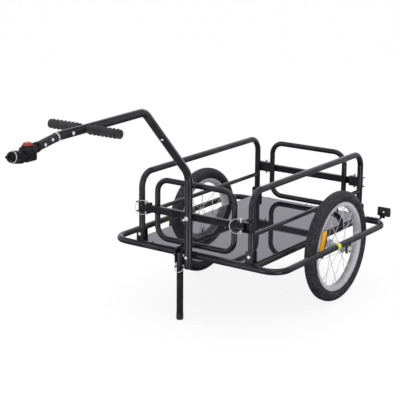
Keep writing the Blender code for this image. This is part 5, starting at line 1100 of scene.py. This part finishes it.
def makeAxle(side, s):
    # threaded ends are rings of small triangles: the radius follows a triangle wave along the axle
    x, v, d, r = wheel["x"], axle, dropouts, axle["radius"]
    centre = np.array([s * x, 0, wheel["z"]])
    out, inn = d["outerX"] + d["thick"] / 2 - x, x - d["innerX"] + d["thick"] / 2
    along = np.linspace(0, v["thread"], 34)
    wave = np.abs(((along / v["pitch"]) % 1) * 2 - 1)
    tooth = v["toothRoot"] + (r - v["toothRoot"]) * wave
    low, high, sleeve, mid = -inn + v["inSlot"], out - v["inSlot"], v["spacer"], v["spacerIn"]
    profile = [(-inn - v["thread"], 0)] + list(zip(along - inn - v["thread"], tooth))
    profile += [(low, r), (low, sleeve), (-mid, sleeve), (-mid, r), (mid, r), (mid, sleeve), (high, sleeve)]
    profile += [(high, r)] + list(zip(out + along, tooth)) + [(out + v["thread"], 0)]
    shapes = [turned(profile, centre, (s, 0, 0))]
    for at, way in ((out, 1), (-inn, -1)):
        seat, outward = centre + np.array([s * (at + way * play), 0, 0]), (s * way, 0, 0)
        shapes += hexNut(seat, outward, v["nutR"], v["nut"], v["nutBore"])
        shapes.append(washer(seat, outward, r, v["washer"], v["washerThick"]))
    makePiece(side + "AxleBolt", shapes, "frame", "zincBolt", side + "_axle")


for side, s in sideSigns.items():
    makeWheel(side, s)
    makeAxle(side, s)
print("wheels done")


# reflector and band on the left of the frame

tail = dict(x=0.3285, z=0.2685, halfA=0.026, halfB=0.0170, back=0.005, armX=0.262, armHalf=0.0065, thick=0.002,
            tab=0.016, over=0.006,  # screws: radius, head, shank, length
            screw=(0.0044, 0.0024, 0.0016, 0.004), footScrew=(0.0044, 0.0022, 0.0016, 0.004))


def makeTail(side, s):
    # a bent strap with a tab, two screws, and a cup and a domed lens built from rounded rectangles
    t, y0 = tail, base["rear"]
    thick, seat = t["thick"], base["height"] + base["radius"] + play
    knee, top = t["x"] - t["halfA"] * 0.35, t["z"] + t["over"]
    back = y0 + t["armHalf"]
    strap = [(t["armX"], seat), (knee + thick, seat), (knee + thick, top), (knee, top), (knee, seat + thick),
             (t["armX"], seat + thick)]
    shapes = [slab([(s * x, z) for x, z in strap], "y", y0 - t["armHalf"], back)]
    low = (s * (knee + thick / 2), back - thick, seat + 2 * thick)
    shapes.append(block(low, (s * (knee + t["tab"]), back, top)))
    makePiece(side + "TailStrap", shapes, "frame", "pressedPlate", side + "_reflector_mount", bevel=0.0005)
    spot = (s * (knee + t["tab"] * 0.6), back - thick - 0.0002, t["z"])
    footSpot = (s * (t["armX"] + 0.012), y0, seat + thick + 0.0001)
    screws = [domeBolt(spot, alongY, *t["screw"]), domeBolt(footSpot, (0, 0, -1), *t["footScrew"])]
    makePiece(side + "TailScrews", screws, "frame", "zincBolt")

    def ringAt(inset, y):
        # a rounded rectangle moved in by inset, square to Y
        ring = roundedBox(t["halfA"] - inset, t["halfB"] - inset, 0.005 - inset * 0.4, 5)
        return triples(s * t["x"] + ring[:, 0], y, t["z"] + ring[:, 1])

    end = back + t["back"]
    cup = [(0.0014, back), (0.0004, back + 0.0006), (0, back + 0.0014), (0, end + 0.0012), (0.0006, end + 0.0018),
           (0.0017, end + 0.0018), (0.0021, end + 0.0012), (0.0021, end - 0.0005)]
    lens = [(0.0026, end + 0.0003), (0.0026, end + 0.0024), (0.0034, end + 0.0036), (0.0050, end + 0.0043)]
    cup, lens = (grid([ringAt(inset, y) for inset, y in levels], caps=True) for levels in (cup, lens))
    makePiece(side + "TailCup", cup, "frame", "reflectorBody", angle=50)
    makePiece(side + "TailLens", lens, "frame", "redLens", side + "_reflector_lens", angle=50)


band = dict(y=-0.089, half=0.0105, thick=0.0007)


def makeBand(side, s):
    # a thin sleeve: a rectangle's section turned round the base loop's straight side
    half, low, high = band["half"], base["radius"] - 0.0003, base["radius"] + band["thick"]
    centre = (s * base["halfWidth"], band["y"], base["height"])
    ring = turned([(-half, low), (-half, high), (half, high), (half, low)], centre, alongY, 36, ring=True)
    makePiece(side + "LimeBand", ring, "frame", "limeBand")


makeTail("left", 1)
makeBand("left", 1)

# CAD nodes that stay: hidden or plain ones get their finish here
kept = {"button_spring": "wireSteel", "latch_fork": "zincBolt"}
for side in sideSigns:
    kept[side + "_inner_tube"] = "tubeRubber"
    kept[side + "_inner_bearing"] = kept[side + "_outer_bearing"] = "zincBolt"
for node, look in kept.items():
    nodes[node].data.materials.clear()
    nodes[node].data.materials.append(looks[look])
print("reflectors, band and kept nodes done")


# floor, light and camera

white = (1, 1, 1)
# glossNear and glossFar are the floor's tones in reflections only: glossNear is painted shade near the trailer
floorLook = dict(size=30, drop=0.0005, tone=0.95, glossNear=0.12, glossFar=0.85, farWay=(-0.53, 0.85, 0),
                 farEdge=(0.9, 1.9), plainShare=0.86, rough=0.9, specular=0.1)
# highlightStrips glow only for gloss: painted highlights on the tubes
highlightStrips = dict(ways=(-10, 74), start=(0.60, 0.80), halfWidth=(0.22, 0.12), power=4.5, middle=(0, 0.03, 0))
sky = dict(power=1.03, glossTone=(0.93, 0.917, 1.0), dim=0.05, wallEdge=(0.40, 0.68), greyer=0.5,
           greyWay=(0.58, 0.81, 0), greyEdge=(0.80, 0.93), overhead=1.50, overheadEdge=(0.72, 0.90))
lamps = {  # place, size, power, whether gloss sees it
    "topSoft": ((0.1, 0.7, 3.8), (2.4, 2.0), 27.0, False),
    "keySoft": ((2.2, -2.6, 3.4), (1.0, 1.0), 9.0, True),
    "fillSoft": ((-3.2, -1.6, 2.2), (2.2, 2.2), 8.0, True),
    "rimSoft": ((-0.6, 3.4, 2.8), (3.0, 1.4), 8.0, True),
}
lampAim = (0.0, 0.1, 0.35)


def highlightStripMask(tree, where):
    # two glowing strips, painted highlights seen only in gloss, run out from the front bar; each is a range along
    # its way times a range across it
    away = addNode(tree, "VectorMath", where, highlightStrips["middle"], operation="SUBTRACT").outputs["Vector"]
    masks = []
    for degrees in highlightStrips["ways"]:
        c, s = math.cos(math.radians(degrees)), math.sin(math.radians(degrees))
        along, across = dotProduct(tree, away, (s, -c, 0)), dotProduct(tree, away, (c, s, 0))
        across = mapRange(tree, calc(tree, "ABSOLUTE", across), 0, 1, *highlightStrips["halfWidth"])
        masks.append(calc(tree, "MULTIPLY", mapRange(tree, along, 0, 1, *highlightStrips["start"]), across))
    return calc(tree, "ADD", *masks)


def makeFloor():
    # gloss sees a floor with painted shade, dark near the trailer and pale behind it, and glowing strips, painted
    # highlights that give upright tubes thin lines; the camera sees plain white mixed with the lit floor and its
    # shadow
    v, e = floorLook, floorLook["size"]
    mesh = bpy.data.meshes.new("studioFloor")
    mesh.from_pydata([(-e, -e, 0), (e, -e, 0), (e, e, 0), (-e, e, 0)], [], [(0, 1, 2, 3)])
    floor = bpy.data.objects.new("studioFloor", mesh)
    floor.location.z = -v["drop"]
    bpy.context.scene.collection.objects.link(floor)
    tree, shader, where = startLook("paleFloor", (v["tone"],) * 3)
    path = addNode(tree, "LightPath").outputs
    behind = mapRange(tree, dotProduct(tree, where, v["farWay"]), 0, 1, *v["farEdge"])
    gloss = mixColours(tree, behind, (v["glossNear"],) * 3, (v["glossFar"],) * 3)
    tone = mixColours(tree, path["Is Glossy Ray"], (v["tone"],) * 3, gloss)
    setShader(tree, shader, Base_Color=tone, Roughness=v["rough"], Specular_IOR_Level=v["specular"])
    plain = addNode(tree, "Emission").outputs["Emission"]
    share = calc(tree, "MULTIPLY", path["Is Camera Ray"], v["plainShare"])
    seen = mixShaders(tree, share, shader.outputs["BSDF"], plain)
    strip = addNode(tree, "Emission", Strength=highlightStrips["power"]).outputs["Emission"]
    mask = calc(tree, "MULTIPLY", highlightStripMask(tree, where), path["Is Glossy Ray"])
    feed(tree, tree.nodes["Material Output"].inputs["Surface"], mixShaders(tree, mask, seen, strip))
    looks["paleFloor"].cycles.emission_sampling = "NONE"
    mesh.materials.append(looks["paleFloor"])


def makeWorld():
    # gloss sees a white wall all round under a dim ceiling with a bright patch overhead; the wall is greyer
    # towards the rear left, where the side tubes look; every other ray sees plain white
    world = bpy.data.worlds.new("studio")
    bpy.context.scene.world = world
    world.use_nodes = True
    tree = world.node_tree
    path, way = addNode(tree, "LightPath").outputs, addNode(tree, "TexCoord").outputs["Generated"]
    up = addNode(tree, "SeparateXYZ", way).outputs["Z"]
    wall = mapRange(tree, up, 1.0, sky["dim"], *sky["wallEdge"])
    grey = mapRange(tree, dotProduct(tree, way, sky["greyWay"]), 1.0, sky["greyer"], *sky["greyEdge"])
    patch = mapRange(tree, up, 0, sky["overhead"], *sky["overheadEdge"])
    gloss = calc(tree, "ADD", calc(tree, "MULTIPLY", wall, grey), patch)
    lit = tree.nodes["Background"]
    feed(tree, lit.inputs["Color"], white)
    feed(tree, lit.inputs["Strength"], sky["power"])
    last = lit.outputs["Background"]
    rays = (("Glossy", sky["glossTone"], gloss), ("Transmission", white, 1), ("Camera", white, 1))
    for ray, tone, power in rays:
        seen = addNode(tree, "Background", tone, power).outputs["Background"]
        last = mixShaders(tree, path["Is " + ray + " Ray"], last, seen)
    feed(tree, tree.nodes["World Output"].inputs["Surface"], last)


def makeLamp(name, spot, size, power, inGloss):
    # a soft rectangle of light that faces lampAim
    lamp = bpy.data.lights.new(name, "AREA")
    lamp.shape, lamp.size, lamp.size_y, lamp.energy = "RECTANGLE", *size, power
    holder = bpy.data.objects.new(name, lamp)
    holder.location, holder.visible_glossy = spot, inGloss
    holder.rotation_euler = (Vector(lampAim) - Vector(spot)).to_track_quat("-Z", "Y").to_euler()
    bpy.context.scene.collection.objects.link(holder)


view = dict(lens=112.09, sensor=36.0, spot=(2.3493, -3.7548, 1.4928), yaw=0.6153, pitch=-0.2590, roll=0.0079)


def makeCamera():
    # solved from the photo; spot is measured from the wheels' axle like every other length along Y
    v = view
    level, roll = math.cos(v["pitch"]), v["roll"]
    forward = np.array([-math.sin(v["yaw"]) * level, math.cos(v["yaw"]) * level, math.sin(v["pitch"])])
    right = unit(np.cross(forward, alongZ))
    up = np.cross(right, forward)
    camera = bpy.data.objects.new("photoView", bpy.data.cameras.new("photoView"))
    camera.data.lens, camera.data.sensor_width, camera.data.clip_end = v["lens"], v["sensor"], 100
    m = np.eye(4)
    m[:3, 0] = right * math.cos(roll) + up * math.sin(roll)
    m[:3, 1] = up * math.cos(roll) - right * math.sin(roll)
    m[:3, 2] = -forward
    m[:3, 3] = np.array(v["spot"]) + np.array([0, axleY, 0])
    camera.matrix_world = Matrix(m.tolist())
    bpy.context.scene.collection.objects.link(camera)
    bpy.context.scene.camera = camera


makeFloor()
makeWorld()
for name, values in lamps.items():
    makeLamp(name, *values)
makeCamera()
bpy.context.scene.view_settings.view_transform = "Standard"
